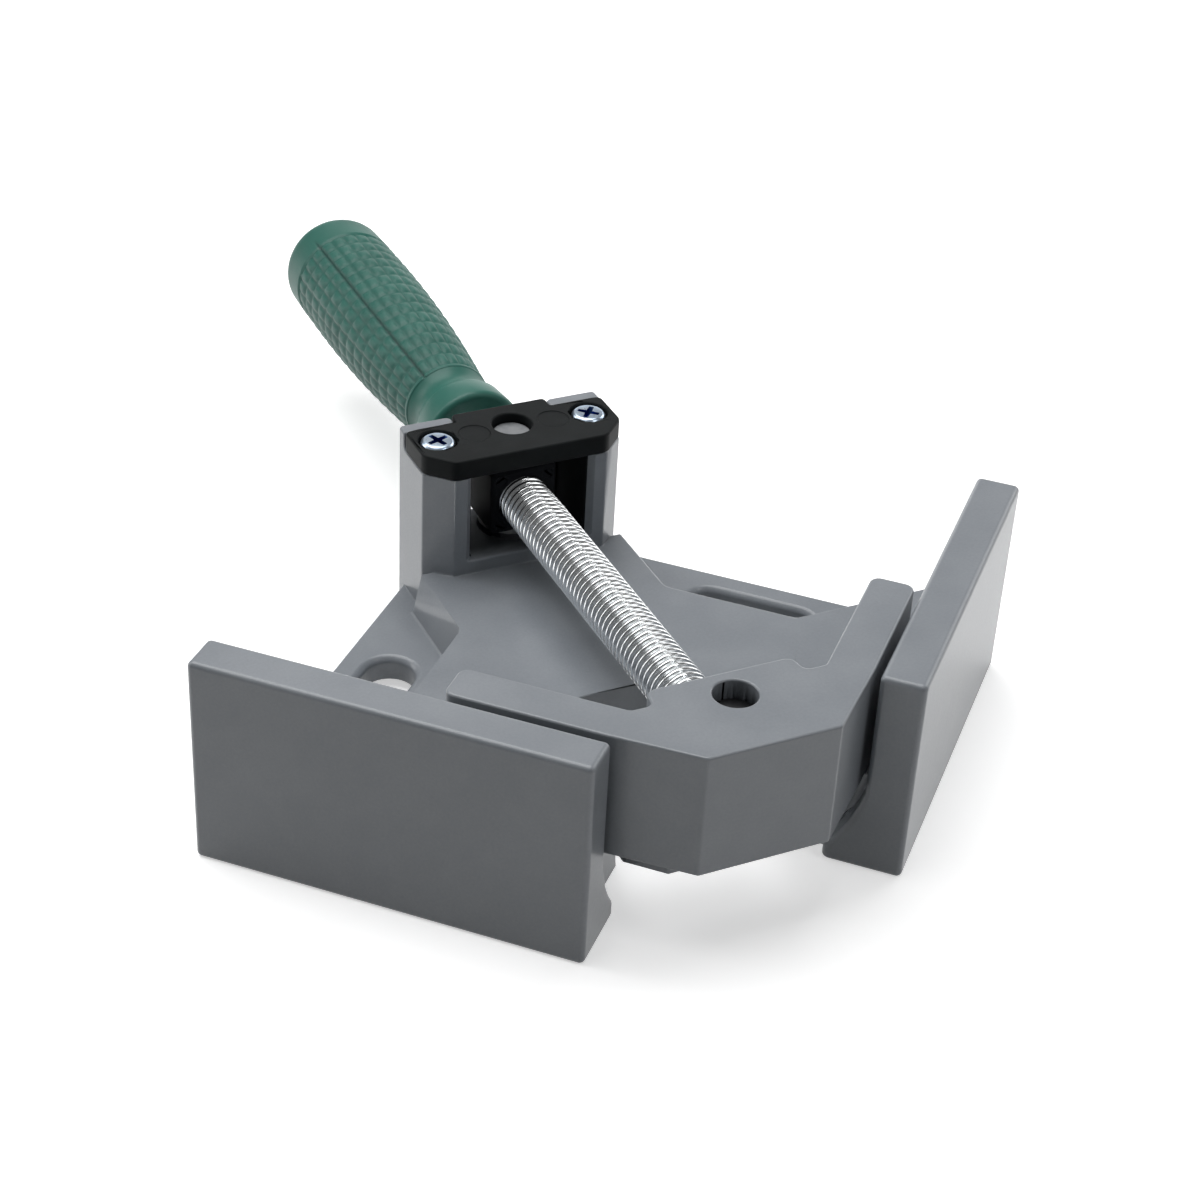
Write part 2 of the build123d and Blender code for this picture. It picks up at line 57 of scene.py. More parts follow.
MM = 0.001
AXIS_HEIGHT = 27.5 * MM          # of the spindle over the bench
CORNER_Y = -131.5 * MM           # where the outer faces of the fixed jaws would meet
DIAGONAL = cos(radians(45))
TOWER_HALF_WIDTH = 20 * MM
STRIP_FRONT = 4.17 * MM          # of the two strips of the casting behind the cap
WINDOW_HALF_WIDTH = 11.6 * MM    # the tower's window, where the nut swings
WINDOW_SILL = 17.9 * MM
WINDOW_TOP = 36.3 * MM
WINDOW_FRONT = -9.6 * MM
MERGE_DISTANCE = 0.001 * MM
BORE_STEPS = 64                  # facets around a bore
TURNED_STEPS = 48                # facets around a small turned piece
FLAT_ANGLE = radians(0.6)        # below it two facets are one flat face
CREASE_ANGLE = radians(50)       # above it an edge stays a crease in the shading


# Settings that a user can change in the sidebar
def size_setting(name, description, default, unit="LENGTH"):
    return FloatProperty(name=name, description=description, default=default, min=0, unit=unit)


def angle_setting(name, description, default):
    return FloatProperty(name=name, description=description, default=default, subtype="ANGLE")


def count_setting(name, description, default, least):
    return IntProperty(name=name, description=description, default=default, min=least)


class ClampEdges(bpy.types.PropertyGroup):
    casting: size_setting("Casting edge", "Radius of the castings' edges", 0.45 * MM)
    machined: size_setting("Machined edge", "Radius of the steel pieces' edges", 0.2 * MM)
    fillet: size_setting("Casting fillet", "Radius of the castings' inner corners", 1.1 * MM)
    segments: count_setting("Segments", "Steps across a rounded edge", 3, 1)
    sharp_angle: angle_setting("Sharp angle", "Edges sharper than this are rounded", radians(28))


class ClampThread(bpy.types.PropertyGroup):
    pitch: size_setting("Pitch", "Advance for each turn", 1.5 * MM)
    crest_radius: size_setting("Crest radius", "Outer radius of the thread", 5 * MM)
    depth: size_setting("Depth", "From crest to root", 0.9 * MM)
    crest_share: FloatProperty(
        name="Crest share", description="Share of the pitch that the flat crest takes", default=0.32,
        min=0, max=0.5,
    )
    segments: count_setting("Segments", "Steps around one turn", 56, 12)
    rows: count_setting("Rows", "Steps across one pitch", 8, 4)


class ClampGrip(bpy.types.PropertyGroup):
    columns: count_setting("Columns", "Pads around the grip", 26, 6)
    rows: count_setting("Rows", "Pads along the grip", 14, 2)
    row_pitch: size_setting("Row pitch", "From one row of pads to the next", 4.03 * MM)
    pad_depth: size_setting("Pad depth", "Depth of the grooves between the pads", 0.42 * MM)
    seam_angle: angle_setting("Seam angle", "Place of the deep groove, from the top", radians(-35))


class ClampStage(bpy.types.PropertyGroup):
    lens: size_setting("Lens", "Focal length of the camera", 75.66, "NONE")
    key_power: size_setting("Key light", "Power of the soft light overhead", 11, "POWER")
    back_power: size_setting("Back card", "Power of the low card that shows in the thread", 4.5, "POWER")
    floor_size: size_setting("Floor size", "Side of the square floor", 6)


SETTINGS = {
    "clamp_edges": ClampEdges,
    "clamp_thread": ClampThread,
    "clamp_grip": ClampGrip,
    "clamp_stage": ClampStage,
}


# Node maths, for shaders and for Geometry Nodes alike
def forward(operation):
    return lambda self, other: self.graph.math(operation, self, other)


def backward(operation):
    return lambda self, other: self.graph.math(operation, other, self)


class Wire:
    """A node's output socket that can be added, subtracted, multiplied and divided like a number."""

    def __init__(self, graph, socket):
        self.graph = graph
        self.socket = socket

    __add__ = forward("ADD")
    __radd__ = backward("ADD")
    __sub__ = forward("SUBTRACT")
    __rsub__ = backward("SUBTRACT")
    __mul__ = forward("MULTIPLY")
    __rmul__ = backward("MULTIPLY")
    __truediv__ = forward("DIVIDE")
    __rtruediv__ = backward("DIVIDE")


class Graph:
    """Adds nodes to a shader's or a modifier's node tree."""

    def __init__(self, tree):
        self.tree = tree

    def add(self, kind, settings=None, values=None, output=0):
        node = self.tree.nodes.new(kind)
        for name, value in (settings or {}).items():
            setattr(node, name, value)
        for key, value in (values or {}).items():
            self.put(node.inputs[key], value)
        return Wire(self, node.outputs[output])

    def put(self, socket, value):
        if isinstance(value, Wire):
            self.tree.links.new(value.socket, socket)
        else:
            socket.default_value = value

    def math(self, operation, *values):
        return self.add("ShaderNodeMath", {"operation": operation}, dict(enumerate(values)))

    def smooth(self, value, low, high):
        """0 below low, 1 above high, and a smooth step between them."""
        return self.add(
            "ShaderNodeMapRange",
            {"interpolation_type": "SMOOTHSTEP"},
            {"Value": value, "From Min": low, "From Max": high},
        )

    def split(self, vector):
        node = self.tree.nodes.new("ShaderNodeSeparateXYZ")
        self.put(node.inputs[0], vector)
        return [Wire(self, socket) for socket in node.outputs]

    def join(self, x, y, z):
        return self.add("ShaderNodeCombineXYZ", {}, {0: x, 1: y, 2: z})

    def mix(self, factor, first, second, blend="MIX"):
        """Mixes two colours, each a wire or red, green and blue."""
        first, second = (c if isinstance(c, Wire) else (*c, 1) for c in (first, second))
        settings = {"data_type": "RGBA", "blend_type": blend}
        return self.add("ShaderNodeMix", settings, {0: factor, 6: first, 7: second}, output=2)


# Materials
class Paint(Graph):
    """One material with a Principled shader, read in the object's own coordinates."""

    def __init__(self, name):
        material = bpy.data.materials.new(name)
        material.use_nodes = True
        super().__init__(material.node_tree)
        self.material = material
        self.shader = self.tree.nodes["Principled BSDF"]
        self.place = self.add("ShaderNodeTexCoord", output=3)

    def noise(self, size, detail=3, roughness=0.5, place=None):
        """Noise from 0 to 1 whose grains are about size metres across."""
        values = {"Vector": place or self.place, "Scale": 1 / size, "Detail": detail, "Roughness": roughness}
        return self.add("ShaderNodeTexNoise", {}, values)

    def bump(self, height, distance, strength=1, normal=None):
        values = {"Height": height, "Distance": distance, "Strength": strength}
        if normal:
            values["Normal"] = normal
        return self.add("ShaderNodeBump", {}, values)

    def in_window(self):
        """1 inside the tower's window, where painted shade makes the casting nearly black, and 0 outside."""
        x, y, z = self.split(self.place)
        sides = 1 - self.smooth(self.math("ABSOLUTE", x), WINDOW_HALF_WIDTH, WINDOW_HALF_WIDTH + 0.4 * MM)
        above = self.smooth(z, WINDOW_SILL, WINDOW_SILL + 0.8 * MM)
        below = 1 - self.smooth(z, WINDOW_TOP, WINDOW_TOP + 0.2 * MM)
        behind = self.smooth(y, WINDOW_FRONT, WINDOW_FRONT + 4 * MM)
        return sides * above * below * behind

    def set(self, **values):
        for name, value in values.items():
            socket = self.shader.inputs[name.replace("_", " ")]
            if isinstance(value, tuple) and len(value) == 3:
                value = (*value, 1)
            self.put(socket, value)
        return self.material


def casting_paint(name, base, light):
    """Semi-gloss paint on a die casting: faint orange peel, mottling and lighter patches, with painted shade
    that makes it near black inside the tower's window.
    """
    paint = Paint(name)
    mottle = paint.noise(14 * MM, detail=4)
    grain = paint.noise(0.5 * MM, detail=2)
    peel = paint.noise(2.6 * MM, detail=2)
    colour = paint.mix(paint.smooth(mottle, 0.35, 0.7), base, light)
    colour = paint.mix(0.16 * grain, colour, (0.02, 0.02, 0.025))
    fine = paint.bump(grain, 0.02 * MM, 0.5)
    # Painted shade: inside the tower's window the paint turns near black, rough and without coat.
    window_shade = paint.in_window()
    return paint.set(
        Base_Color=paint.mix(0.9 * window_shade, colour, (0.01, 0.01, 0.012)),
        Roughness=0.3 + 0.14 * mottle + 0.06 * grain + 0.4 * window_shade,
        Coat_Weight=0.35 * (1 - window_shade),
        Coat_Roughness=0.14,
        Normal=paint.bump(peel, 0.05 * MM, 0.6, fine),
    )


def black_coating(name, colour, sheen, gloss):
    """Satin black coating on steel, with a fine grain and a few dull patches."""
    paint = Paint(name)
    grain = paint.noise(0.35 * MM, detail=3)
    cloud = paint.noise(6 * MM, detail=3)
    return paint.set(
        Base_Color=paint.mix(paint.smooth(cloud, 0.3, 0.75), colour, tuple(1.5 * c for c in colour)),
        Roughness=sheen + 0.12 * cloud + 0.08 * grain,
        Specular_IOR_Level=gloss,
        Normal=paint.bump(grain, 0.015 * MM, 0.6),
    )


def thread_zinc(name, crest, root, low, high):
    """Bright zinc plate on the crests, with painted shade that makes the thread's roots nearly black."""
    paint = Paint(name)
    x, _, z = paint.split(paint.place)
    z = z - AXIS_HEIGHT
    radius = paint.math("SQRT", x * x + z * z)
    stain = paint.noise(4 * MM, detail=3)
    rise = paint.smooth(radius + 0.25 * MM * (stain - 0.5), low, high)
    return paint.set(
        Base_Color=paint.mix(rise, root, crest),
        Metallic=1.0,
        Roughness=0.34 - 0.16 * rise + 0.08 * stain,
    )


def screw_zinc(name, colour, tint, recess):
    """Bluish zinc plate, with painted shade that makes the screws' recesses dark blue; the mesh marks the
    recesses.
    """
    paint = Paint(name)
    deep = paint.add("ShaderNodeAttribute", {"attribute_name": "recess"}, output="Fac")
    stain = paint.noise(1.2 * MM, detail=3)
    plate = paint.mix(paint.smooth(stain, 0.4, 0.7), colour, tint)
    return paint.set(
        Base_Color=paint.mix(deep, plate, recess),
        Metallic=1.0,
        Roughness=0.24 + 0.1 * stain,
        Normal=paint.bump(stain, 0.01 * MM, 0.4),
    )


def plated_steel(name, colour, roughness, tint, streak=0.25):
    """Bright plated steel with fine machining marks around it and slight stains."""
    paint = Paint(name)
    stretch = paint.add(
        "ShaderNodeMapping", {}, {"Vector": paint.place, "Scale": (0.15, 1, 0.15)}
    )
    marks = paint.noise(streak * MM, detail=2, place=stretch)
    stain = paint.noise(5 * MM, detail=4, roughness=0.6)
    return paint.set(
        Base_Color=paint.mix(paint.smooth(stain, 0.4, 0.75), colour, tint),
        Metallic=1.0,
        Roughness=roughness + 0.14 * marks + 0.08 * stain,
        Normal=paint.bump(marks, 0.008 * MM, 0.5),
    )


def moulded_plastic(name, colour, deep, roughness):
    """Moulded plastic with a fine matt grain and a soft change of colour, and painted shade in its grooves.
    """
    paint = Paint(name)
    grain = paint.noise(0.3 * MM, detail=3)
    cloud = paint.noise(9 * MM, detail=3)
    groove = paint.add("ShaderNodeAttribute", {"attribute_name": "groove"}, output="Fac")
    shade = paint.mix(paint.smooth(cloud, 0.3, 0.8), colour, tuple(0.85 * c for c in colour))
    return paint.set(
        Base_Color=paint.mix(groove, shade, deep),
        Roughness=roughness + 0.1 * grain + 0.08 * cloud,
        Specular_IOR_Level=0.35,
        Normal=paint.bump(grain, 0.02 * MM, 0.5),
    )


# Meshes
def place(mesh, name):
    piece = bpy.data.objects.new(name, mesh)
    bpy.context.scene.collection.objects.link(piece)
    return piece


def to_piece(form, name):
    """A new piece of that form, with its faces turned outward."""
    bmesh.ops.recalc_face_normals(form, faces=form.faces)
    mesh = bpy.data.meshes.new(name)
    form.to_mesh(mesh)
    form.free()
    return place(mesh, name)


def cad_copy(node, name):
    """The node's mesh with its facets joined up again into whole faces."""
    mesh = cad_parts[node].data.copy()
    mesh.name = name
    mesh.materials.clear()
    return join_facets(place(mesh, name))


def join_facets(piece):
    form = bmesh.new()
    form.from_mesh(piece.data)
    bmesh.ops.remove_doubles(form, verts=form.verts, dist=MERGE_DISTANCE)
    bmesh.ops.dissolve_limit(
        form, angle_limit=FLAT_ANGLE, verts=form.verts, edges=form.edges, delimit={"NORMAL"}
    )
    bmesh.ops.recalc_face_normals(form, faces=form.faces)
    form.to_mesh(piece.data)
    form.free()
    return piece


def jaw_point(along, inward):
    """The (x, y) of a point on the right jaw, in millimetres."""
    return (along - inward) * DIAGONAL, CORNER_Y / MM + (along + inward) * DIAGONAL


def shift(piece, chosen, move):
    """Moves vertices along a jaw and inwards from its outer face, the same on both sides."""
    for vert in piece.data.vertices:
        side = -1 if vert.co.x < 0 else 1
        across = abs(vert.co.x)
        deep = vert.co.y - CORNER_Y
        along, inward = (across + deep) * DIAGONAL, (deep - across) * DIAGONAL
        if chosen(along, inward, vert.co.z):
            along, inward = move(along, inward)
            vert.co.x = side * (along - inward) * DIAGONAL
            vert.co.y = CORNER_Y + (along + inward) * DIAGONAL


def mirrored(half):
    """The corners and radii of a symmetric outline, from (x, y, radius) on its right half."""
    whole = [*half, *((-x, y, radius) for x, y, radius in reversed(half))]
    return [(x, y) for x, y, _ in whole], [radius for *_, radius in whole]


def outline(corners, radii, steps=5):
    """A closed outline of (x, y) in millimetres whose corners are rounded, each by its own radius."""
    points = []
    corners = [Vector((x, y, 0)) for x, y in corners]
    for k, (corner, radius) in enumerate(zip(corners, radii)):
        before = (corners[k - 1] - corner).normalized()
        after = (corners[(k + 1) % len(corners)] - corner).normalized()
        half = before.angle(after) / 2
        centre = corner + (before + after).normalized() * radius / sin(half)
        start, end = (corner + way * radius / tan(half) - centre for way in (before, after))
        sweep = start.rotation_difference(end)
        for j in range(steps + 1):
            points.append((centre + Quaternion().slerp(sweep, j / steps) @ start) * MM)
    return points


def prism(name, points, bottom, top):
    """An upright solid between two heights."""
    form = bmesh.new()
    lower, upper = ([form.verts.new((p.x, p.y, z)) for p in points] for z in (bottom, top))
    form.faces.new(lower)
    form.faces.new(reversed(upper))
    for k, vert in enumerate(lower):
        form.faces.new((lower[k - 1], vert, upper[k], upper[k - 1]))
    return to_piece(form, name)


def lathe(name, profile, segments, to_world):
    """Turns points of (along, radius) about the local Z axis, closing it where the radius is nought."""
    form = bmesh.new()
    rings = []
    for along, radius in profile:
        if radius == 0:
            rings.append([form.verts.new((0, 0, along))])
            continue
        angles = [tau * k / segments for k in range(segments)]
        rings.append([form.verts.new((radius * cos(a), radius * sin(a), along)) for a in angles])
    for first, second in zip(rings, rings[1:]):
        for k in range(segments):
            corners = [first[k % len(first)], first[(k + 1) % len(first)]]
            corners += [second[(k + 1) % len(second)], second[k % len(second)]]
            form.faces.new(dict.fromkeys(corners))
    piece = to_piece(form, name)
    piece.data.transform(to_world)
    return piece


def along_spindle():
    """Takes a lathe's Z to +Y on the spindle's axis."""
    return Matrix.Translation((0, 0, AXIS_HEIGHT)) @ Matrix.Rotation(radians(-90), 4, "X")


def arc(centre, radius, start, end, steps):
    """Points of (along, radius) on a quarter or less of a circle, with angles in degrees."""
    angles = [radians(start + (end - start) * k / steps) for k in range(steps + 1)]
    return [(centre[0] + radius * cos(a), centre[1] + radius * sin(a)) for a in angles]


class SharpEdges:
    """The edges to round on one mesh, with a share of the full radius for each."""

    sample_step = 0.15 * MM
    near = 1.6                       # how far a rounded edge may reach, in widths
    beside = 1.2                     # how far from an inner edge the surface may rise, in widths
    deepest = 0.6                    # how far a point may sink, in widths
    slack = 0.08 * MM
    proud = 0.02 * MM
    least_share = 0.3
    rounds = 8

    def __init__(self, mesh, width, angle, chosen):
        self.width = width
        form = bmesh.new()
        form.from_mesh(mesh)
        form.normal_update()
        sharp = [e for e in form.edges if len(e.link_faces) == 2 and e.calc_face_angle() > angle]
        sharp = [e for e in sharp if chosen(e)]
        self.shares = {edge.index: 1.0 for edge in sharp}
        self.inner = {edge.index for edge in sharp if not edge.is_convex}
        self.surface = BVHTree.FromBMesh(form)
        samples = []
        for edge in sharp:
            start, end = (vert.co for vert in edge.verts)
            steps = max(1, int((end - start).length / self.sample_step))
            samples += [(start.lerp(end, k / steps), edge.index) for k in range(steps + 1)]
        self.owners = [edge for _, edge in samples]
        self.line = self.tree([point for point, _ in samples])
        self.corners = self.tree([vert.co for vert in form.verts])
        places = [vert.co for vert in form.verts]
        self.low, self.high = (Vector(way(axis) for axis in zip(*places)) for way in (min, max))
        form.free()

    def tree(self, points):
        tree = KDTree(len(points))
        for k, point in enumerate(points):
            tree.insert(point, k)
        tree.balance()
        return tree

    def strays(self, point):
        """Whether a rounded mesh's point has left the place where a rounded edge may be."""
        if self.corners.find(point)[2] < MERGE_DISTANCE:
            return False
        sides = zip(self.low, point, self.high)
        if any(at < low - MERGE_DISTANCE or at > high + MERGE_DISTANCE for low, at, high in sides):
            return True
        if self.line.find(point)[2] > self.near * self.width + self.slack:
            return True
        at, normal, _, away = self.surface.find_nearest(point)
        if at is None:
            return True
        around = self.line.find_range(point, self.beside * self.width)
        hollow = any(self.owners[k] in self.inner for _, k, _ in around)
        outside = away > self.proud and (point - at).dot(normal) > 0 and not hollow
        return away > self.deepest * self.width or outside

    def ease(self, mesh):
        """Lowers the share of the edges beside each stray point, and says whether there are any."""
        form = bmesh.new()
        form.from_mesh(mesh)
        hit = set()
        for vert in form.verts:
            if self.strays(vert.co):
                for point in (vert.co, *(edge.other_vert(vert).co for edge in vert.link_edges)):
                    found = self.line.find_range(point, self.near * self.width)
                    hit.update(self.owners[k] for _, k, _ in found or [self.line.find(point)])
        form.free()
        for edge in hit:
            share = self.shares[edge]
            self.shares[edge] = 0.0 if share < self.least_share else share / 2
        return bool(hit)


def soften(piece, edges, width, segments=None, takes_fillet=None):
    """Rounds the piece's sharp edges, less where they crowd, and shades it smooth."""
    segments = segments or edges.segments
    if takes_fillet and edges.fillet:
        round_edges(piece, edges.fillet, 2 * segments, edges.sharp_angle, takes_fillet)
    round_edges(piece, width, segments, edges.sharp_angle)
    return shade(piece)


def smooth(piece, crease):
    """Smooth shading but for the edges that are sharper than the crease."""
    piece.data.shade_smooth()
    piece.data.set_sharp_from_angle(angle=crease)
    return piece


def shade(piece):
    """Smooth shading that keeps flat faces flat and creases sharp."""
    smooth(piece, CREASE_ANGLE)
    normals = piece.modifiers.new("Normals", "WEIGHTED_NORMAL")
    normals.keep_sharp = True
    return apply_modifiers(piece)


def any_edge(edge):
    return True


def round_edges(piece, width, segments, angle, chosen=any_edge):
    """Rounds the sharp edges by a bevel whose shares ease off where it goes astray."""
    mesh = piece.data
    edges = SharpEdges(mesh, width, angle, chosen)
    if "bevel_weight_edge" not in mesh.attributes:
        mesh.attributes.new("bevel_weight_edge", "FLOAT", "EDGE")
    bevel = piece.modifiers.new("Edges", "BEVEL")
    bevel.width = width
    bevel.segments = segments
    bevel.limit_method = "WEIGHT"
    bevel.use_clamp_overlap = False
    bevel.miter_outer = "MITER_ARC"
    for _ in range(edges.rounds):
        for edge, weight in enumerate(mesh.attributes["bevel_weight_edge"].data):
            weight.value = edges.shares.get(edge, 0)
        mesh.update()
        piece.update_tag()
        rounded = evaluated(piece)
        if not edges.ease(rounded):
            break
    piece.modifiers.clear()
    piece.data = rounded


def evaluated(piece):
    """A plain mesh of the piece with its modifiers run."""
    graph = bpy.context.evaluated_depsgraph_get()
    graph.update()
    return bpy.data.meshes.new_from_object(piece.evaluated_get(graph))


def apply_modifiers(piece):
    """Leaves the piece as a plain mesh."""
    mesh = evaluated(piece)
    piece.modifiers.clear()
    piece.data = mesh
    return piece


def cut(piece, cutter):
    """Cuts one mesh out of another and removes the cutter."""
    boolean = piece.modifiers.new("Cut", "BOOLEAN")
    boolean.operation = "DIFFERENCE"
    boolean.solver = "EXACT"
    boolean.object = cutter
    apply_modifiers(piece)
    bpy.data.objects.remove(cutter)
    return piece


def dress(piece, material, body, slot, *nodes):
    """Gives the piece its material and body and hides the nodes that it stands for. The slot argument is not
    used.
    """
    if material.name not in piece.data.materials:
        piece.data.materials.clear()
        piece.data.materials.append(material)
    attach(piece, body)
    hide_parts(*nodes)
    return piece


def repaint(node, material):
    """A better material for a CAD node that stays as it is."""
    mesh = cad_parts[node].data
    for k in range(len(mesh.materials)):
        mesh.materials[k] = material


# Geometry Nodes
class Modifier(Graph):
    """A Geometry Nodes tree with named inputs, applied to one object."""

    def __init__(self, name):
        super().__init__(bpy.data.node_groups.new(name, "GeometryNodeTree"))
        self.tree.interface.new_socket("Geometry", in_out="OUTPUT", socket_type="NodeSocketGeometry")
        self.tree.interface.new_socket("Geometry", in_out="INPUT", socket_type="NodeSocketGeometry")
        self.values = {}
        self.inputs = self.tree.nodes.new("NodeGroupInput")
        self.geometry = Wire(self, self.inputs.outputs[0])

    def input(self, name, kind, value):
        socket = self.tree.interface.new_socket(name, in_out="INPUT", socket_type="NodeSocket" + kind)
        self.values[socket.identifier] = value
        return Wire(self, self.inputs.outputs[name])

    def finish(self, geometry, material, piece):
        """Ends the tree, runs it on the piece and leaves a plain mesh."""
        real = self.add("GeometryNodeRealizeInstances", {}, {0: geometry})
        paint = self.input("Material", "Material", material)
        painted = self.add("GeometryNodeSetMaterial", {}, {"Geometry": real, "Material": paint})
        output = self.tree.nodes.new("NodeGroupOutput")
        self.tree.links.new(painted.socket, output.inputs[0])
        modifier = piece.modifiers.new(self.tree.name, "NODES")
        modifier.node_group = self.tree
        for identifier, value in self.values.items():
            modifier[identifier] = value
        return apply_modifiers(piece)

    def grid(self, columns, rows):
        """A grid of that many steps, and each point's place across and along it from -0.5 to 0.5."""
        sizes = {"Size X": 1, "Size Y": 1, "Vertices X": columns + 1, "Vertices Y": rows + 1}
        grid = self.add("GeometryNodeMeshGrid", {}, sizes)
        across, along, _ = self.split(self.add("GeometryNodeInputPosition"))
        return grid, across, along

    def wrap(self, grid, position, material, name):
        """Moves the grid's points to the position, welds its seam and leaves a plain closed mesh."""
        moved = self.add("GeometryNodeSetPosition", {}, {"Geometry": grid, "Position": position})
        merged = self.add("GeometryNodeMergeByDistance", {}, {"Geometry": moved, "Distance": MERGE_DISTANCE})
        smooth_grid = self.add("GeometryNodeSetShadeSmooth", {}, {"Geometry": merged})
        piece = place(bpy.data.meshes.new(name), name)
        return close_holes(self.finish(smooth_grid, material, piece))


def close_holes(piece):
    """Closes the open rims that a grid leaves at its ends and turns the faces outward."""
    form = bmesh.new()
    form.from_mesh(piece.data)
    bmesh.ops.holes_fill(form, edges=[edge for edge in form.edges if edge.is_boundary], sides=0)
    bmesh.ops.recalc_face_normals(form, faces=form.faces)
    form.to_mesh(piece.data)
    form.free()
    return piece


def join_meshes(name, pieces):
    """One object of several meshes that keep their materials."""
    form = bmesh.new()
    materials = []
    for piece in pieces:
        part = bmesh.new()
        part.from_mesh(piece.data)
        for material in piece.data.materials:
            if material not in materials:
                materials.append(material)
        slots = [materials.index(material) for material in piece.data.materials]
        for face in part.faces:
            face.material_index = slots[face.material_index] if slots else 0
        mesh = bpy.data.meshes.new(name)
        part.to_mesh(mesh)
        part.free()
        form.from_mesh(mesh)
        bpy.data.meshes.remove(mesh)
    joined = bpy.data.meshes.new(name)
    form.to_mesh(joined)
    form.free()
    for material in materials:
        joined.materials.append(material)
    for piece in pieces:
        bpy.data.objects.remove(piece)
    return place(joined, name)


# Operators, one for each piece or group of like pieces
class CLAMP_OT_castings(bpy.types.Operator):
    """Round the edges of the two painted castings"""

    bl_idname = "clamp.castings"
    bl_label = "Painted castings"

    # The moving jaw's arms, in millimetres along a jaw and inwards from its outer face
    nose_end = 44
    arm_end = 71.2
    face_inward = 9.35
    back_inward = 17.15
    nose_radius = 20
    arm_radius = 1.8
    core_middle = 55
    core_length = 20
    core_width = 3.2
    core_radius = 1.0
    core_roof = 4 * MM

    # Its block, as (x, y, radius) in millimetres, and what is cut for the spindle and the pivot
    block_front = (11.93, -105.5, 0.8)
    block_back = ((17.75, -89.5, 1.5), (13.6, -89.5, 1.5), (13.6, -85.5, 2.0))
    slot_half_width = 5.8
    slot_ends = (-101.5, -80)
    slot_radius = 0.8
    pivot_y = CORNER_Y + 40 * MM
    barrel_radius = 7.05 * MM
    hole_radius = 3.8 * MM
    hole_rim = 0.4 * MM
    overshoot = 2 * MM

    # The feet inside the near ends of the fixed jaws
    jaw_thickness = 8 * MM
    foot_end = 51.5 * MM
    foot_top = 15.9 * MM
    cad_reach = 4.6
    reach = 6.2

    def execute(self, context):
        edges = context.scene.clamp_edges
        grey = casting_paint("casting_paint", (0.235, 0.255, 0.28), (0.265, 0.285, 0.31))
        casting = cad_copy("frame_casting", "dressed_frame_casting")
        shift(casting, self.on_near_foot, self.widen_foot)
        cut(casting, self.seat_cutter())
        join_facets(casting)
        soften(casting, edges, edges.casting, takes_fillet=self.takes_fillet)
        casting.data.materials.append(grey)
        # The window's side walls take a near-black coating as painted shade.
        casting.data.materials.append(black_coating("window_oil", (0.012, 0.013, 0.015), 0.7, 0.04))
        for face in casting.data.polygons:
            face.material_index = int(self.on_window_wall(face))
        dress(casting, grey, "frame", "casting_paint", "frame_casting")
        dress(self.moving_jaw(edges), grey, "jaw", "jaw_paint", "moving_jaw")
        return {"FINISHED"}

    def moving_jaw(self, edges):
        """A block with two arms, cut for the pivot, the spindle and the cores under its arms."""
        half = [
            self.block_front,
            (*jaw_point(self.nose_end, self.face_inward), self.nose_radius),
            (*jaw_point(self.arm_end, self.face_inward), self.arm_radius),
            (*jaw_point(self.arm_end, self.back_inward), self.arm_radius),
            *self.block_back,
        ]
        low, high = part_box("moving_jaw")
        jaw = prism("dressed_moving_jaw", outline(*mirrored(half), steps=6), low.z, high.z)
        soften(jaw, edges, edges.casting)
        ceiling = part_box("pivot_barrel")[1].z + 0.1 * MM
        under = low.z - self.overshoot
        width, (front, back) = self.slot_half_width, self.slot_ends
        plan = [(width, front), (width, back), (-width, back), (-width, front)]
        slot = outline(plan, [self.slot_radius] * 4)
        cut(jaw, prism("slot", slot, under, ceiling))
        centre = Matrix.Translation((0, self.pivot_y, 0))
        barrel, hole, rim = self.barrel_radius, self.hole_radius, self.hole_rim
        top = ceiling + 0.01 * MM
        cut(jaw, lathe("barrel", [(under, 0), (under, barrel), (top, barrel), (top, 0)], BORE_STEPS, centre))
        profile = [(under, 0), (under, hole)]
        profile += arc((high.z - rim, hole + rim), rim, 270, 360, 5)
        profile += [(high.z + rim, hole + rim), (high.z + rim, 0)]
        cut(jaw, lathe("hole", profile, BORE_STEPS, centre))
        ends = (self.core_middle - self.core_length / 2, self.core_middle + self.core_length / 2)
        for side in (1, -1):
            sides = ((ends[0], -1), (ends[1], -1), (ends[1], 1), (ends[0], 1))
            middle = (self.face_inward + self.back_inward) / 2
            plan = [jaw_point(along, middle + way * self.core_width / 2) for along, way in sides]
            core = outline([(side * x, y) for x, y in plan], [self.core_radius] * 4)
            cut(jaw, prism("core", core, under, high.z - self.core_roof))
        return shade(jaw)

    def seat_cutter(self):
        """Clears the tower's top in front of the two strips, so that the cap covers it."""
        low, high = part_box("tower_cap")
        margin = 1 * MM
        x = TOWER_HALF_WIDTH + margin
        front = low.y - margin
        plan = [(-x, front), (x, front), (x, STRIP_FRONT), (-x, STRIP_FRONT)]
        points = [Vector((*corner, 0)) for corner in plan]
        return prism("seat", points, low.z - MERGE_DISTANCE, 1.1 * high.z)

    def takes_fillet(self, edge):
        """The inner edges, but not those in the tower's window."""
        x, y, z = (edge.verts[0].co + edge.verts[1].co) / 2
        in_window = abs(x) < 1.2 * WINDOW_HALF_WIDTH and y > CORNER_Y / 2 and z > WINDOW_SILL
        return not edge.is_convex and not in_window

    def on_window_wall(self, face):
        x, y, z = face.center
        slack = 0.2 * MM
        inside = abs(x) < WINDOW_HALF_WIDTH + slack and WINDOW_SILL < z < WINDOW_TOP + slack
        return inside and y > WINDOW_FRONT and abs(face.normal.x) > 0.6

    def on_near_foot(self, along, inward, z):
        deep = inward - self.jaw_thickness
        return along < self.foot_end and 0.05 * MM < deep < 4.7 * MM and z < self.foot_top

    def widen_foot(self, along, inward):
        deep = inward - self.jaw_thickness
        return along, self.jaw_thickness + deep * self.reach / self.cad_reach


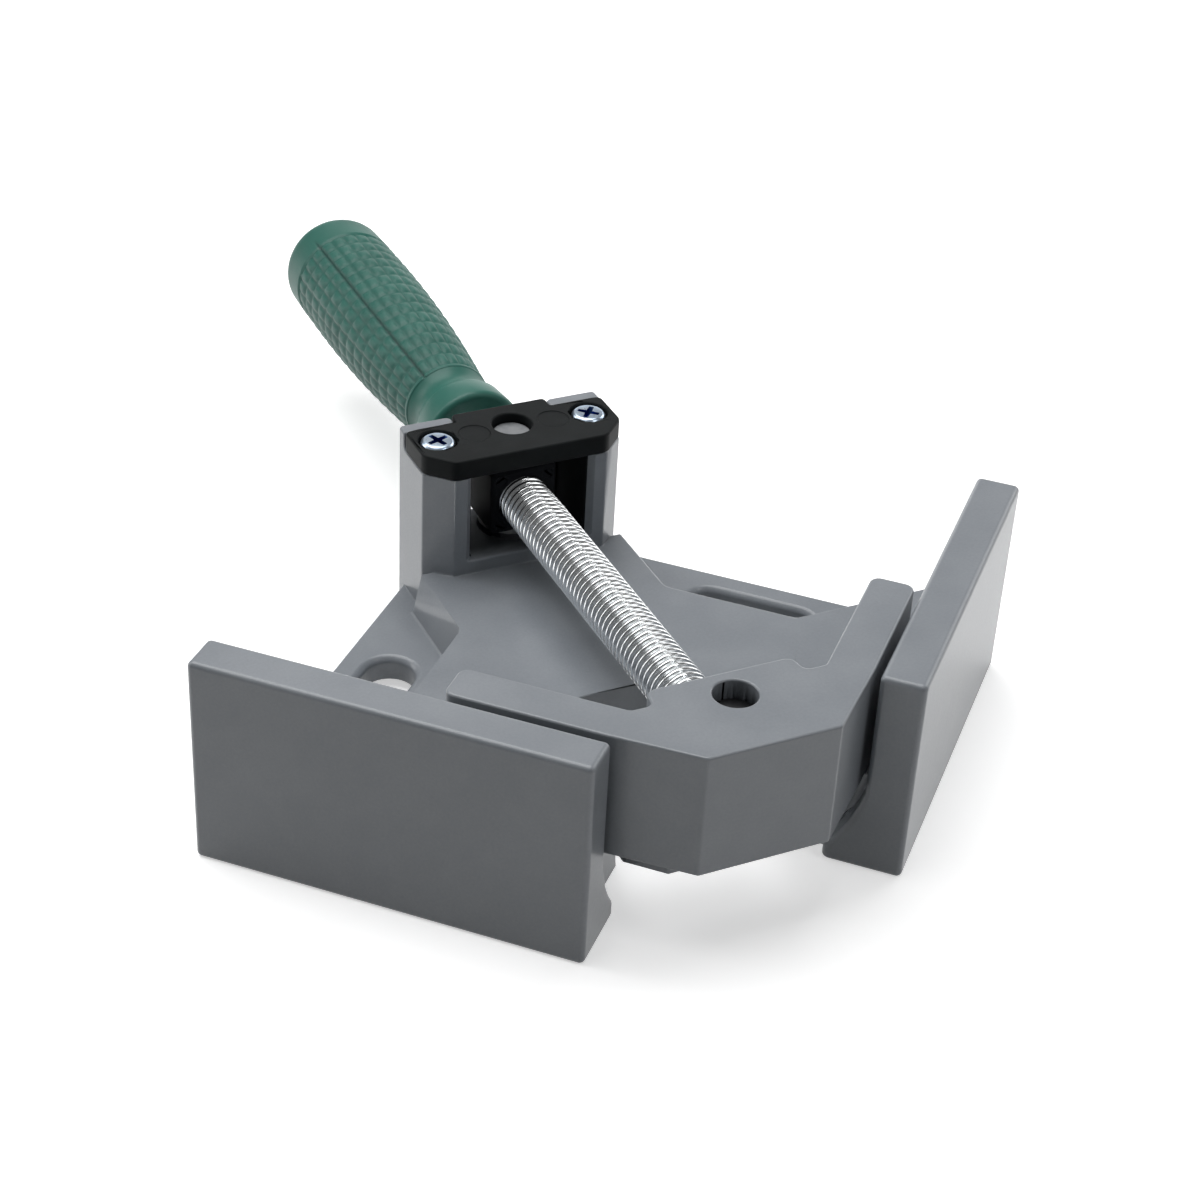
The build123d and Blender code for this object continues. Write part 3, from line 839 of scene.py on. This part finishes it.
class CLAMP_OT_cap(bpy.types.Operator):
    """Finish the dark plate on the tower"""

    bl_idname = "clamp.cap"
    bl_label = "Tower cap"

    # The plan covers the whole tower in front of the casting's two strips
    half = ((9.6, 7, 1.0), (9.6, 4, 0.5), (20, 4, 1.2), (20, -5.3, 2.5), (15.3, -10, 2.5))
    edge = 0.4 * MM
    screw_x = 15.3 * MM
    screw_y = -1 * MM
    screw_seat = 1.6 * MM            # below the cap's top
    bore_radius = 3.7 * MM
    shank_radius = 2.05 * MM
    trunnion_radius = 3.8 * MM
    mark_x = 8 * MM
    mark_radius = 3 * MM
    mark_depth = 0.12 * MM

    def holes(self, top):
        """The cutters for the trunnion's hole, the screws' counterbores and the two round marks."""
        above, below = top + 1 * MM, top - 6 * MM
        seat = top - self.screw_seat
        through = [(below, 0), (below, self.trunnion_radius), (above, self.trunnion_radius), (above, 0)]
        bore = [
            (below, 0), (below, self.shank_radius), (seat, self.shank_radius), (seat, self.bore_radius),
            (above, self.bore_radius), (above, 0),
        ]
        mark = [(top - self.mark_depth, 0), (top - self.mark_depth, self.mark_radius)]
        mark += [(above, self.mark_radius), (above, 0)]
        cutters = [lathe("hole", through, BORE_STEPS, Matrix.Identity(4))]
        for side in (1, -1):
            at = Matrix.Translation((side * self.screw_x, self.screw_y, 0))
            cutters.append(lathe("bore", bore, BORE_STEPS, at))
            at = Matrix.Translation((side * self.mark_x, self.screw_y, 0))
            cutters.append(lathe("mark", mark, BORE_STEPS, at))
        return join_meshes("holes", cutters)

    def execute(self, context):
        edges = context.scene.clamp_edges
        low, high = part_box("tower_cap")
        piece = prism("dressed_tower_cap", outline(*mirrored(self.half)), low.z, high.z)
        cut(piece, self.holes(high.z))
        join_facets(piece)
        soften(piece, edges, self.edge)
        black = black_coating("cap_black", (0.008, 0.0095, 0.01), 0.42, 0.11)
        dress(piece, black, "frame", "cap_black", "tower_cap")
        return {"FINISHED"}


class CLAMP_OT_nut(bpy.types.Operator):
    """Finish the swivelling nut, with a bare top trunnion, and its washer"""

    bl_idname = "clamp.nut"
    bl_label = "Swivel nut"

    trunnion_edge = 0.6 * MM         # how far below the top its own corners lie
    trunnion_drop = 0.8 * MM         # below the CAD's trunnion, as in the photo
    trunnion_taper = 0.94

    def execute(self, context):
        edges = context.scene.clamp_edges
        piece = cad_copy("swivel_nut", "dressed_swivel_nut")
        black = black_coating("nut_black", (0.01, 0.011, 0.013), 0.5, 0.07)
        bare = plated_steel("bare_steel", (0.32, 0.33, 0.34), 0.5, (0.2, 0.21, 0.22), streak=0.8)
        piece.data.materials.append(black)
        piece.data.materials.append(bare)
        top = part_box("swivel_nut")[1].z
        for face in piece.data.polygons:
            if face.center.z > top - MERGE_DISTANCE:
                face.material_index = 1
        for vert in piece.data.vertices:
            if vert.co.z > top - self.trunnion_edge:
                vert.co.x *= self.trunnion_taper
                vert.co.y *= self.trunnion_taper
                vert.co.z -= self.trunnion_drop
        soften(piece, edges, edges.machined)
        dress(piece, black, "nut", "nut_black", "swivel_nut")
        repaint("nut_washer", plated_steel("washer_steel", (0.45, 0.45, 0.44), 0.32, (0.34, 0.34, 0.33)))
        return {"FINISHED"}


class CLAMP_OT_spindle(bpy.types.Operator):
    """Cut the thread into the spindle"""

    bl_idname = "clamp.spindle"
    bl_label = "Threaded spindle"

    neck_radius = 3.5 * MM
    groove_radius = 2.8 * MM
    tip_edge = 0.45 * MM
    shank_radius = 3.6 * MM

    def thread(self, settings, start, end, material):
        """A right-hand helix on a grid whose rows follow the thread, so each row has one radius."""
        tree = Modifier("Thread")
        first = tree.input("Start", "Float", start)
        last = tree.input("End", "Float", end)
        pitch = tree.input("Pitch", "Float", settings.pitch)
        crest = tree.input("Crest radius", "Float", settings.crest_radius)
        depth = tree.input("Depth", "Float", settings.depth)
        share = tree.input("Crest share", "Float", settings.crest_share)
        segments = tree.input("Segments", "Int", settings.segments)
        rows = tree.input("Rows", "Int", settings.rows)
        height = tree.input("Axis height", "Float", AXIS_HEIGHT)
        turns = tree.math("CEIL", (last - first) / pitch) + 1
        grid, u, v = tree.grid(segments, turns * rows)
        row = (v + 0.5) * turns * rows
        turn = u + 0.5
        phase = tree.math("FRACT", tree.math("ROUND", row) / rows)
        away = tree.math("ABSOLUTE", phase - 0.5) * 2
        rise = tree.add(
            "ShaderNodeMapRange",
            {"interpolation_type": "SMOOTHSTEP"},
            {"Value": away, "From Min": share * 0.5, "From Max": 1 - share},
        )
        y = tree.math("MAXIMUM", first, tree.math("MINIMUM", last, first + pitch * (row / rows + turn - 1)))
        lead = crest - depth + tree.math("MINIMUM", y - first, last - y)
        radius = tree.math("MINIMUM", crest - depth * (1 - rise), lead)
        angle = turn * tau
        position = tree.join(
            radius * tree.math("SINE", angle),
            y,
            height + radius * tree.math("COSINE", angle),
        )
        return tree.wrap(grid, position, material, "thread")

    def execute(self, context):
        settings = context.scene.clamp_thread
        edges = context.scene.clamp_edges
        crest, root = settings.crest_radius, settings.crest_radius - settings.depth
        half_way = 0.5 * crest + 0.5 * root
        # The second colour is painted shade for the thread's roots.
        zinc = thread_zinc("spindle_zinc", (0.92, 0.94, 0.95), (0.06, 0.08, 0.085), root, half_way)
        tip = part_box("spindle")[0].y
        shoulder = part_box("thrust_washer")[1].y
        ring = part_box("retaining_ring")
        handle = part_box("handle_core")[0].y
        thread = self.thread(settings, shoulder, handle, zinc)
        profile = [
            (tip, 0),
            (tip, self.neck_radius - self.tip_edge),
            (tip + self.tip_edge, self.neck_radius),
            (ring[0].y, self.neck_radius),
            (ring[0].y, self.groove_radius),
            (ring[1].y, self.groove_radius),
            (ring[1].y, self.neck_radius),
            (shoulder, self.neck_radius),
            (shoulder + settings.pitch, self.neck_radius),
            (shoulder + settings.pitch, 0),
        ]
        neck = smooth(lathe("neck", profile, TURNED_STEPS, along_spindle()), edges.sharp_angle)
        neck.data.materials.append(zinc)
        profile = [
            (handle - settings.pitch, 0),
            (handle - settings.pitch, self.shank_radius),
            (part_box("spindle")[1].y, self.shank_radius),
            (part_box("spindle")[1].y, 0),
        ]
        shank = lathe("shank", profile, 32, along_spindle())
        shank.data.materials.append(zinc)
        piece = join_meshes("dressed_spindle", [thread, neck, shank])
        dress(piece, zinc, "spindle", "spindle_zinc", "spindle")
        return {"FINISHED"}


class CLAMP_OT_cap_screws(bpy.types.Operator):
    """Add the two cross-head screws"""

    bl_idname = "clamp.cap_screws"
    bl_label = "Cap screws"

    head_radius = 3.25 * MM
    head_height = 1.6 * MM
    head_edge = 0.55 * MM
    recess_reach = 2.3 * MM
    recess_half_width = 0.6 * MM
    recess_depth = 1.3 * MM
    recess_taper = 0.55              # of the cross's floor against its top
    arm_taper = 0.8                  # of an arm's tip against its root
    shank_radius = 2 * MM
    places = 2
    first_turn = 0.35                # radians, as in the photo
    turn_between = 0.5

    def mark_recess(self, mesh):
        """Marks the recess's floor and walls for the material's painted shade."""
        values = mesh.attributes.new("recess", "FLOAT", "CORNER").data
        for face in mesh.polygons:
            middle = face.center
            inside = middle.xy.length < self.recess_reach and 0 < middle.z < self.head_height - 0.05 * MM
            for loop in face.loop_indices:
                values[loop].value = 1.0 if inside else 0.0

    def recess(self):
        """A tapered cross, wider at the top, as the cutter for one head."""
        form = bmesh.new()
        arms = []
        reach, half = self.recess_reach, self.recess_half_width
        for k in range(4):
            turn = Matrix.Rotation(radians(90 * k), 3, "Z")
            for x, y in ((half, -half), (reach, -half * self.arm_taper), (reach, half * self.arm_taper)):
                arms.append(turn @ Vector((x, y, 0)))
        rise, depth = Vector((0, 0, self.head_height)), Vector((0, 0, self.recess_depth))
        upper = [form.verts.new(p + rise * 1.2) for p in arms]
        lower = [form.verts.new(p * self.recess_taper + rise - depth) for p in arms]
        form.faces.new(upper)
        form.faces.new(reversed(lower))
        for k, corner in enumerate(upper):
            following = (k + 1) % len(upper)
            form.faces.new((corner, lower[k], lower[following], upper[following]))
        return to_piece(form, "recess")

    def execute(self, context):
        edges = context.scene.clamp_edges
        # The last colour is painted shade for the cross recesses.
        zinc = screw_zinc("screw_zinc", (0.7, 0.82, 0.95), (0.55, 0.68, 0.85), (0.03, 0.09, 0.3))
        low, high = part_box("cap_screws")
        screw_x = high.x - self.head_radius
        middle_y = (low.y + high.y) / 2
        bottom = low.z - high.z + self.head_height
        profile = [
            (bottom, 0),
            (bottom, self.shank_radius),
            (0, self.shank_radius),
            (0, self.head_radius),
            (self.head_height - self.head_edge, self.head_radius),
            (self.head_height, self.head_radius - self.head_edge),
            (self.head_height, 0),
        ]
        head = lathe("screw", profile, TURNED_STEPS, Matrix.Identity(4))
        soften(head, edges, edges.machined)
        cut(head, self.recess())
        self.mark_recess(head.data)
        head.data.materials.append(zinc)

        tree = Modifier("Cap screws")
        spacing = tree.input("Half spacing", "Float", screw_x)
        count = tree.input("Count", "Int", self.places)
        centre_y = tree.input("Middle Y", "Float", middle_y)
        seat = tree.input("Seat height", "Float", high.z - self.head_height)
        screw = tree.input("Screw", "Object", head)
        index = tree.add("GeometryNodeInputIndex")
        side = index * 2 - 1
        points = tree.add(
            "GeometryNodePoints", {}, {"Count": count, "Position": tree.join(spacing * side, centre_y, seat)}
        )
        shape = tree.add("GeometryNodeObjectInfo", {}, {"Object": screw}, output="Geometry")
        turned = tree.join(0, 0, self.first_turn + self.turn_between * index)
        screws = tree.add(
            "GeometryNodeInstanceOnPoints", {}, {"Points": points, "Instance": shape, "Rotation": turned}
        )
        piece = place(bpy.data.meshes.new("dressed_cap_screws"), "dressed_cap_screws")
        tree.finish(screws, zinc, piece)
        bpy.data.objects.remove(head)
        dress(piece, zinc, "frame", "screw_zinc", "cap_screws")
        return {"FINISHED"}


class CLAMP_OT_pivot(bpy.types.Operator):
    """Finish the slotted pivot screw and the small steel pieces of the jaw's pivot"""

    bl_idname = "clamp.pivot"
    bl_label = "Jaw pivot"

    slot_half_width = 0.5 * MM
    slot_depth = 0.9 * MM
    slot_turn = radians(-14)
    head_edge = 0.3 * MM
    shank_share = 0.54               # of the head's radius

    def execute(self, context):
        edges = context.scene.clamp_edges
        dark = plated_steel("pivot_steel", (0.09, 0.092, 0.095), 0.34, (0.05, 0.05, 0.052))
        low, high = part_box("pivot_screw")
        radius = (high.x - low.x) / 2
        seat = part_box("pivot_barrel")[1].z
        centre = Matrix.Translation((0, (low.y + high.y) / 2, 0))
        shank = radius * self.shank_share
        profile = [
            (low.z, 0),
            (low.z, shank),
            (seat, shank),
            (seat, radius),
            (high.z - self.head_edge, radius),
            (high.z, radius - self.head_edge),
            (high.z, 0),
        ]
        screw = lathe("dressed_pivot_screw", profile, TURNED_STEPS, centre)
        soften(screw, edges, edges.machined / 2, segments=2)
        form = bmesh.new()
        bmesh.ops.create_cube(form, size=2)
        slot = to_piece(form, "slot")
        scale = Matrix.Diagonal((1.2 * radius, self.slot_half_width, self.slot_depth, 1))
        lift = Matrix.Translation((0, 0, high.z))
        slot.data.transform(centre @ lift @ Matrix.Rotation(self.slot_turn, 4, "Z") @ scale)
        cut(screw, slot)
        dress(screw, dark, "carrier", "pivot_steel", "pivot_screw")
        for node in ("pivot_barrel", "retaining_ring"):
            repaint(node, dark)
        repaint("thrust_washer", plated_steel("thrust_steel", (0.45, 0.45, 0.44), 0.3, (0.34, 0.34, 0.33)))
        return {"FINISHED"}


class CLAMP_OT_handle(bpy.types.Operator):
    """Shape the handle's smooth collar and its textured grip"""

    bl_idname = "clamp.handle"
    bl_label = "Handle"

    collar_radius = 10 * MM
    collar_length = 7 * MM
    collar_edge = 1.2 * MM
    collar_taper = 0.6 * MM
    waist_radius = 8.0 * MM
    shoulder_radius = 8.72 * MM
    front_radius = 8.8 * MM
    end_radius = 11.1 * MM
    belly_radius = 11.6 * MM
    belly_from_end = 23 * MM
    end_edge = 4.5 * MM
    crown = 0.6 * MM
    first_row = 1.2 * MM             # from the grip's front
    step_around = 8                  # grid steps on each pad
    step_along = 10
    pillow = 3                       # power of the pads' rounded shape
    # Painted shade: the grooves and the seam are coloured darker.
    groove_shade = 0.25               # how dark the grooves are beside the seam
    seam_width = 0.5 * MM
    seam_depth = 0.35 * MM
    seam_shade = 1.3                  # how dark the seam is
    ridge_turns = (radians(-36.5), radians(69.2))

    def collar(self):
        """The flange, the waist and the start of the tube inside the grip."""
        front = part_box("handle_core")[0].y
        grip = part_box("handle_grip")[0].y
        back = front + self.collar_length
        waist = (back + grip) / 2 + 1 * MM
        profile = [(front, 0), (front, self.collar_radius - self.collar_edge)]
        profile += arc(
            (front + self.collar_edge, self.collar_radius - self.collar_edge), self.collar_edge, 180, 90, 6
        )[1:]
        profile.append((back - self.collar_taper, self.collar_radius - self.collar_taper * 0.7))
        steps = 14
        for k in range(steps + 1):
            y = back + (grip - back) * k / steps
            profile.append((y, self.waist_at(y, back, waist, grip)))
        inner = grip + 2 * MM
        profile += [(inner, self.shoulder_radius - 1 * MM), (inner, 0)]
        return lathe("dressed_handle_core", profile, 96, along_spindle())

    def waist_at(self, y, back, waist, grip):
        """The arc through the flange's back, the waist and the grip's front."""
        points = (
            (back, self.collar_radius - self.collar_taper),
            (waist, self.waist_radius),
            (grip, self.shoulder_radius),
        )
        total = 0
        for k, (at, radius) in enumerate(points):
            share = 1
            for j, (other, _) in enumerate(points):
                if j != k:
                    share *= (y - other) / (at - other)
            total += radius * share
        return total

    def grip(self, settings, material):
        """A sleeve whose surface is a field of pillow-shaped pads, worked out point by point."""
        low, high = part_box("handle_grip")
        length = high.y - low.y - self.crown
        tree = Modifier("Grip")
        front = tree.input("Front", "Float", low.y)
        size = tree.input("Length", "Float", length)
        height = tree.input("Axis height", "Float", AXIS_HEIGHT)
        columns = tree.input("Columns", "Int", settings.columns)
        rows = tree.input("Rows", "Int", settings.rows)
        row_pitch = tree.input("Row pitch", "Float", settings.row_pitch)
        pad_depth = tree.input("Pad depth", "Float", settings.pad_depth)
        seam = tree.input("Seam angle", "Float", settings.seam_angle)
        outline_length = length + self.end_edge * (pi / 2 - 2) + self.end_radius
        step_count = int(outline_length / settings.row_pitch * self.step_along)
        steps = tree.input("Steps along", "Int", step_count)
        straight = length - self.end_edge
        quarter = self.end_edge * pi / 2
        flat = self.end_radius - self.end_edge
        grid, u, v = tree.grid(columns * self.step_around, steps)
        angle = (u + 0.5) * tau + seam
        run = (v + 0.5) * (size + self.end_edge * (pi / 2 - 2) + self.end_radius)
        round_off = tree.math("MAXIMUM", 0, tree.math("MINIMUM", quarter, run - straight)) / self.end_edge
        along = tree.math("MINIMUM", run, straight) + self.end_edge * tree.math("SINE", round_off)
        dome = tree.math("MAXIMUM", 0, run - (straight + quarter)) / flat
        belly = length - self.belly_from_end
        ahead = (self.belly_radius - self.front_radius) / belly**2
        behind = (self.belly_radius - self.end_radius) / self.belly_from_end**2
        past = along - belly
        bend = tree.math("LESS_THAN", past, 0) * (ahead - behind) + behind
        body = self.belly_radius - bend * past * past
        inset = self.end_edge * (1 - tree.math("COSINE", round_off))

        across = tree.math("FRACT", (u + 0.5) * columns) * 2 - 1
        lengthwise = (along - self.first_row) / row_pitch
        inside = tree.math("GREATER_THAN", lengthwise, 0) * tree.math("LESS_THAN", lengthwise, rows)
        down = tree.math("FRACT", lengthwise) * 2 - 1
        pad = (1 - tree.math("POWER", tree.math("ABSOLUTE", across), self.pillow)) * (
            1 - tree.math("POWER", tree.math("ABSOLUTE", down), self.pillow)
        )
        hollow = pad_depth * (1 - pad) * inside
        lines = 0
        for half in (0, 1):
            seam_away = self.away(tree, u, half * 0.5) * self.belly_radius
            lines = lines + self.seam_depth * (1 - tree.smooth(seam_away, 0, self.seam_width))
            for turn in self.ridge_turns:
                away = self.away(tree, u, half * 0.5 + turn / tau)
                ridge = 1 - tree.smooth(away * self.belly_radius, 0, self.seam_width)
                hollow = hollow * (1 - ridge)
        fade = 1 - tree.smooth(lengthwise, rows, rows + 1)
        # How much painted shade darkens each point of the grip.
        painted_groove_shade = self.groove_shade * hollow + self.seam_shade * lines * fade
        groove = tree.math("MINIMUM", 1, painted_groove_shade / pad_depth)
        radius = (body - inset - hollow - lines * fade) * (1 - dome)
        position = tree.join(
            radius * tree.math("SINE", angle),
            front + along + self.crown * tree.smooth(dome, 0, 1),
            height + radius * tree.math("COSINE", angle),
        )
        marked = tree.add(
            "GeometryNodeStoreNamedAttribute",
            {"data_type": "FLOAT", "domain": "POINT"},
            {"Geometry": grid, "Name": "groove", "Value": groove},
        )
        return tree.wrap(marked, position, material, "dressed_handle_grip")

    def away(self, tree, u, share):
        """The angle from a line at that share of a turn past the seam."""
        wrapped = tree.math("FRACT", u + (1.0 - share))
        return tree.math("ABSOLUTE", wrapped - 0.5) * tau

    def execute(self, context):
        edges = context.scene.clamp_edges
        green = moulded_plastic("core_green", (0.034, 0.15, 0.118), (0.012, 0.06, 0.05), 0.3)
        collar = smooth(self.collar(), edges.sharp_angle)
        dress(collar, green, "spindle", "core_green", "handle_core")
        rubber = moulded_plastic("grip_green", (0.031, 0.142, 0.112), (0.01, 0.055, 0.045), 0.36)
        grip = self.grip(context.scene.clamp_grip, rubber)
        dress(grip, rubber, "spindle", "grip_green", "handle_grip")
        return {"FINISHED"}


class CLAMP_OT_stage(bpy.types.Operator):
    """Set up the floor, the soft lights and the camera"""

    bl_idname = "clamp.stage"
    bl_label = "Studio"

    camera_place = Vector((-0.16721, -0.37565, 0.27546))
    azimuth = radians(-26.55)
    elevation = radians(33.67)
    roll = radians(3.25)
    aim = Vector((0, -0.01, 0.02))
    world_strength = 0.11

    # Name, power, width and height, and place, besides the key light and the back card
    lamps = (
        ("Left", 2.5, (0.5, 0.6), (-0.85, 0.65, 0.45)),
        ("Right", 1.5, (0.4, 0.6), (0.95, 0.2, 0.4)),
        ("Front", 1.0, (0.25, 0.25), (0.48, -0.7, 0.97)),
        ("Low front", 2.0, (0.8, 0.5), (1.0, -1.1, 0.4)),
    )

    def camera(self, lens):
        level = cos(self.elevation)
        back = Vector((sin(self.azimuth) * level, -cos(self.azimuth) * level, sin(self.elevation)))
        right = Vector((0, 0, 1)).cross(back).normalized()
        up = back.cross(right)
        turned_right = cos(self.roll) * right + sin(self.roll) * up
        turned_up = cos(self.roll) * up - sin(self.roll) * right
        data = bpy.data.cameras.new("Camera")
        data.lens = lens
        data.sensor_width = 36
        camera = bpy.data.objects.new("Camera", data)
        axes = Matrix((turned_right, turned_up, back)).transposed().to_4x4()
        camera.matrix_world = Matrix.Translation(self.camera_place) @ axes
        bpy.context.scene.collection.objects.link(camera)
        bpy.context.scene.camera = camera

    def lamp(self, name, power, size, place_at):
        data = bpy.data.lights.new(name, "AREA")
        data.energy = power
        data.shape = "RECTANGLE"
        data.size, data.size_y = size
        lamp = bpy.data.objects.new(name, data)
        towards = (self.aim - Vector(place_at)).to_track_quat("-Z", "Y")
        lamp.matrix_world = Matrix.Translation(place_at) @ towards.to_matrix().to_4x4()
        bpy.context.scene.collection.objects.link(lamp)

    def execute(self, context):
        settings = context.scene.clamp_stage
        scene = context.scene
        scene.view_settings.view_transform = "Standard"
        self.camera(settings.lens)
        self.lamp("Key", settings.key_power, (1.0, 1.0), (-0.1, 0.3, 1.0))
        self.lamp("Back", settings.back_power, (2.0, 0.6), (0.95, 1.2, 0.34))
        for lamp in self.lamps:
            self.lamp(*lamp)

        world = bpy.data.worlds.new("Studio")
        world.use_nodes = True
        scene.world = world
        background = world.node_tree.nodes["Background"]
        background.inputs["Color"].default_value = (1, 1, 1, 1)
        background.inputs["Strength"].default_value = self.world_strength

        paint = Paint("floor")
        speckle = paint.noise(0.6, detail=2)
        rays = paint.tree.nodes.new("ShaderNodeLightPath")
        kinds = [Wire(paint, rays.outputs[f"Is {kind} Ray"]) for kind in ("Camera", "Glossy", "Transmission")]
        seen = paint.math("MAXIMUM", kinds[0], paint.math("MAXIMUM", kinds[1], kinds[2]))
        pale = paint.mix(speckle, (0.9, 0.9, 0.9), (0.93, 0.93, 0.93))
        paint.set(
            Base_Color=paint.mix(seen, (0.2, 0.2, 0.2), pale),
            Emission_Color=paint.mix(seen, (0, 0, 0), (0.5, 0.5, 0.5)),
            Emission_Strength=1,
            Roughness=0.6 + 0.1 * speckle,
        )
        half = settings.floor_size / 2
        corners = [(-half, -half, 0), (half, -half, 0), (half, half, 0), (-half, half, 0)]
        mesh = bpy.data.meshes.new("floor")
        mesh.from_pydata(corners, [], [(0, 1, 2, 3)])
        mesh.materials.append(paint.material)
        place(mesh, "floor")
        return {"FINISHED"}


class CLAMP_PT_panel(bpy.types.Panel):
    """The clamp's settings and build steps"""

    bl_label = "Corner Clamp"
    bl_idname = "CLAMP_PT_panel"
    bl_space_type = "VIEW_3D"
    bl_region_type = "UI"
    bl_category = "Corner Clamp"

    def draw(self, context):
        for name, group in SETTINGS.items():
            box = self.layout.box()
            for field in group.__annotations__:
                box.prop(getattr(context.scene, name), field)
        for operator in OPERATORS:
            self.layout.operator(operator.bl_idname)


OPERATORS = (
    CLAMP_OT_castings,
    CLAMP_OT_cap,
    CLAMP_OT_nut,
    CLAMP_OT_spindle,
    CLAMP_OT_cap_screws,
    CLAMP_OT_pivot,
    CLAMP_OT_handle,
    CLAMP_OT_stage,
)


def register():
    for item in (*SETTINGS.values(), *OPERATORS, CLAMP_PT_panel):
        bpy.utils.register_class(item)
    for name, group in SETTINGS.items():
        setattr(bpy.types.Scene, name, PointerProperty(type=group))


def unregister():
    for name in SETTINGS:
        delattr(bpy.types.Scene, name)
    for item in (CLAMP_PT_panel, *reversed(OPERATORS), *reversed(SETTINGS.values())):
        bpy.utils.unregister_class(item)


def main():
    register()
    bpy.ops.clamp.castings()
    bpy.ops.clamp.cap()
    bpy.ops.clamp.nut()
    bpy.ops.clamp.spindle()
    bpy.ops.clamp.cap_screws()
    bpy.ops.clamp.pivot()
    bpy.ops.clamp.handle()
    bpy.ops.clamp.stage()


if __name__ == "__main__":
    main()
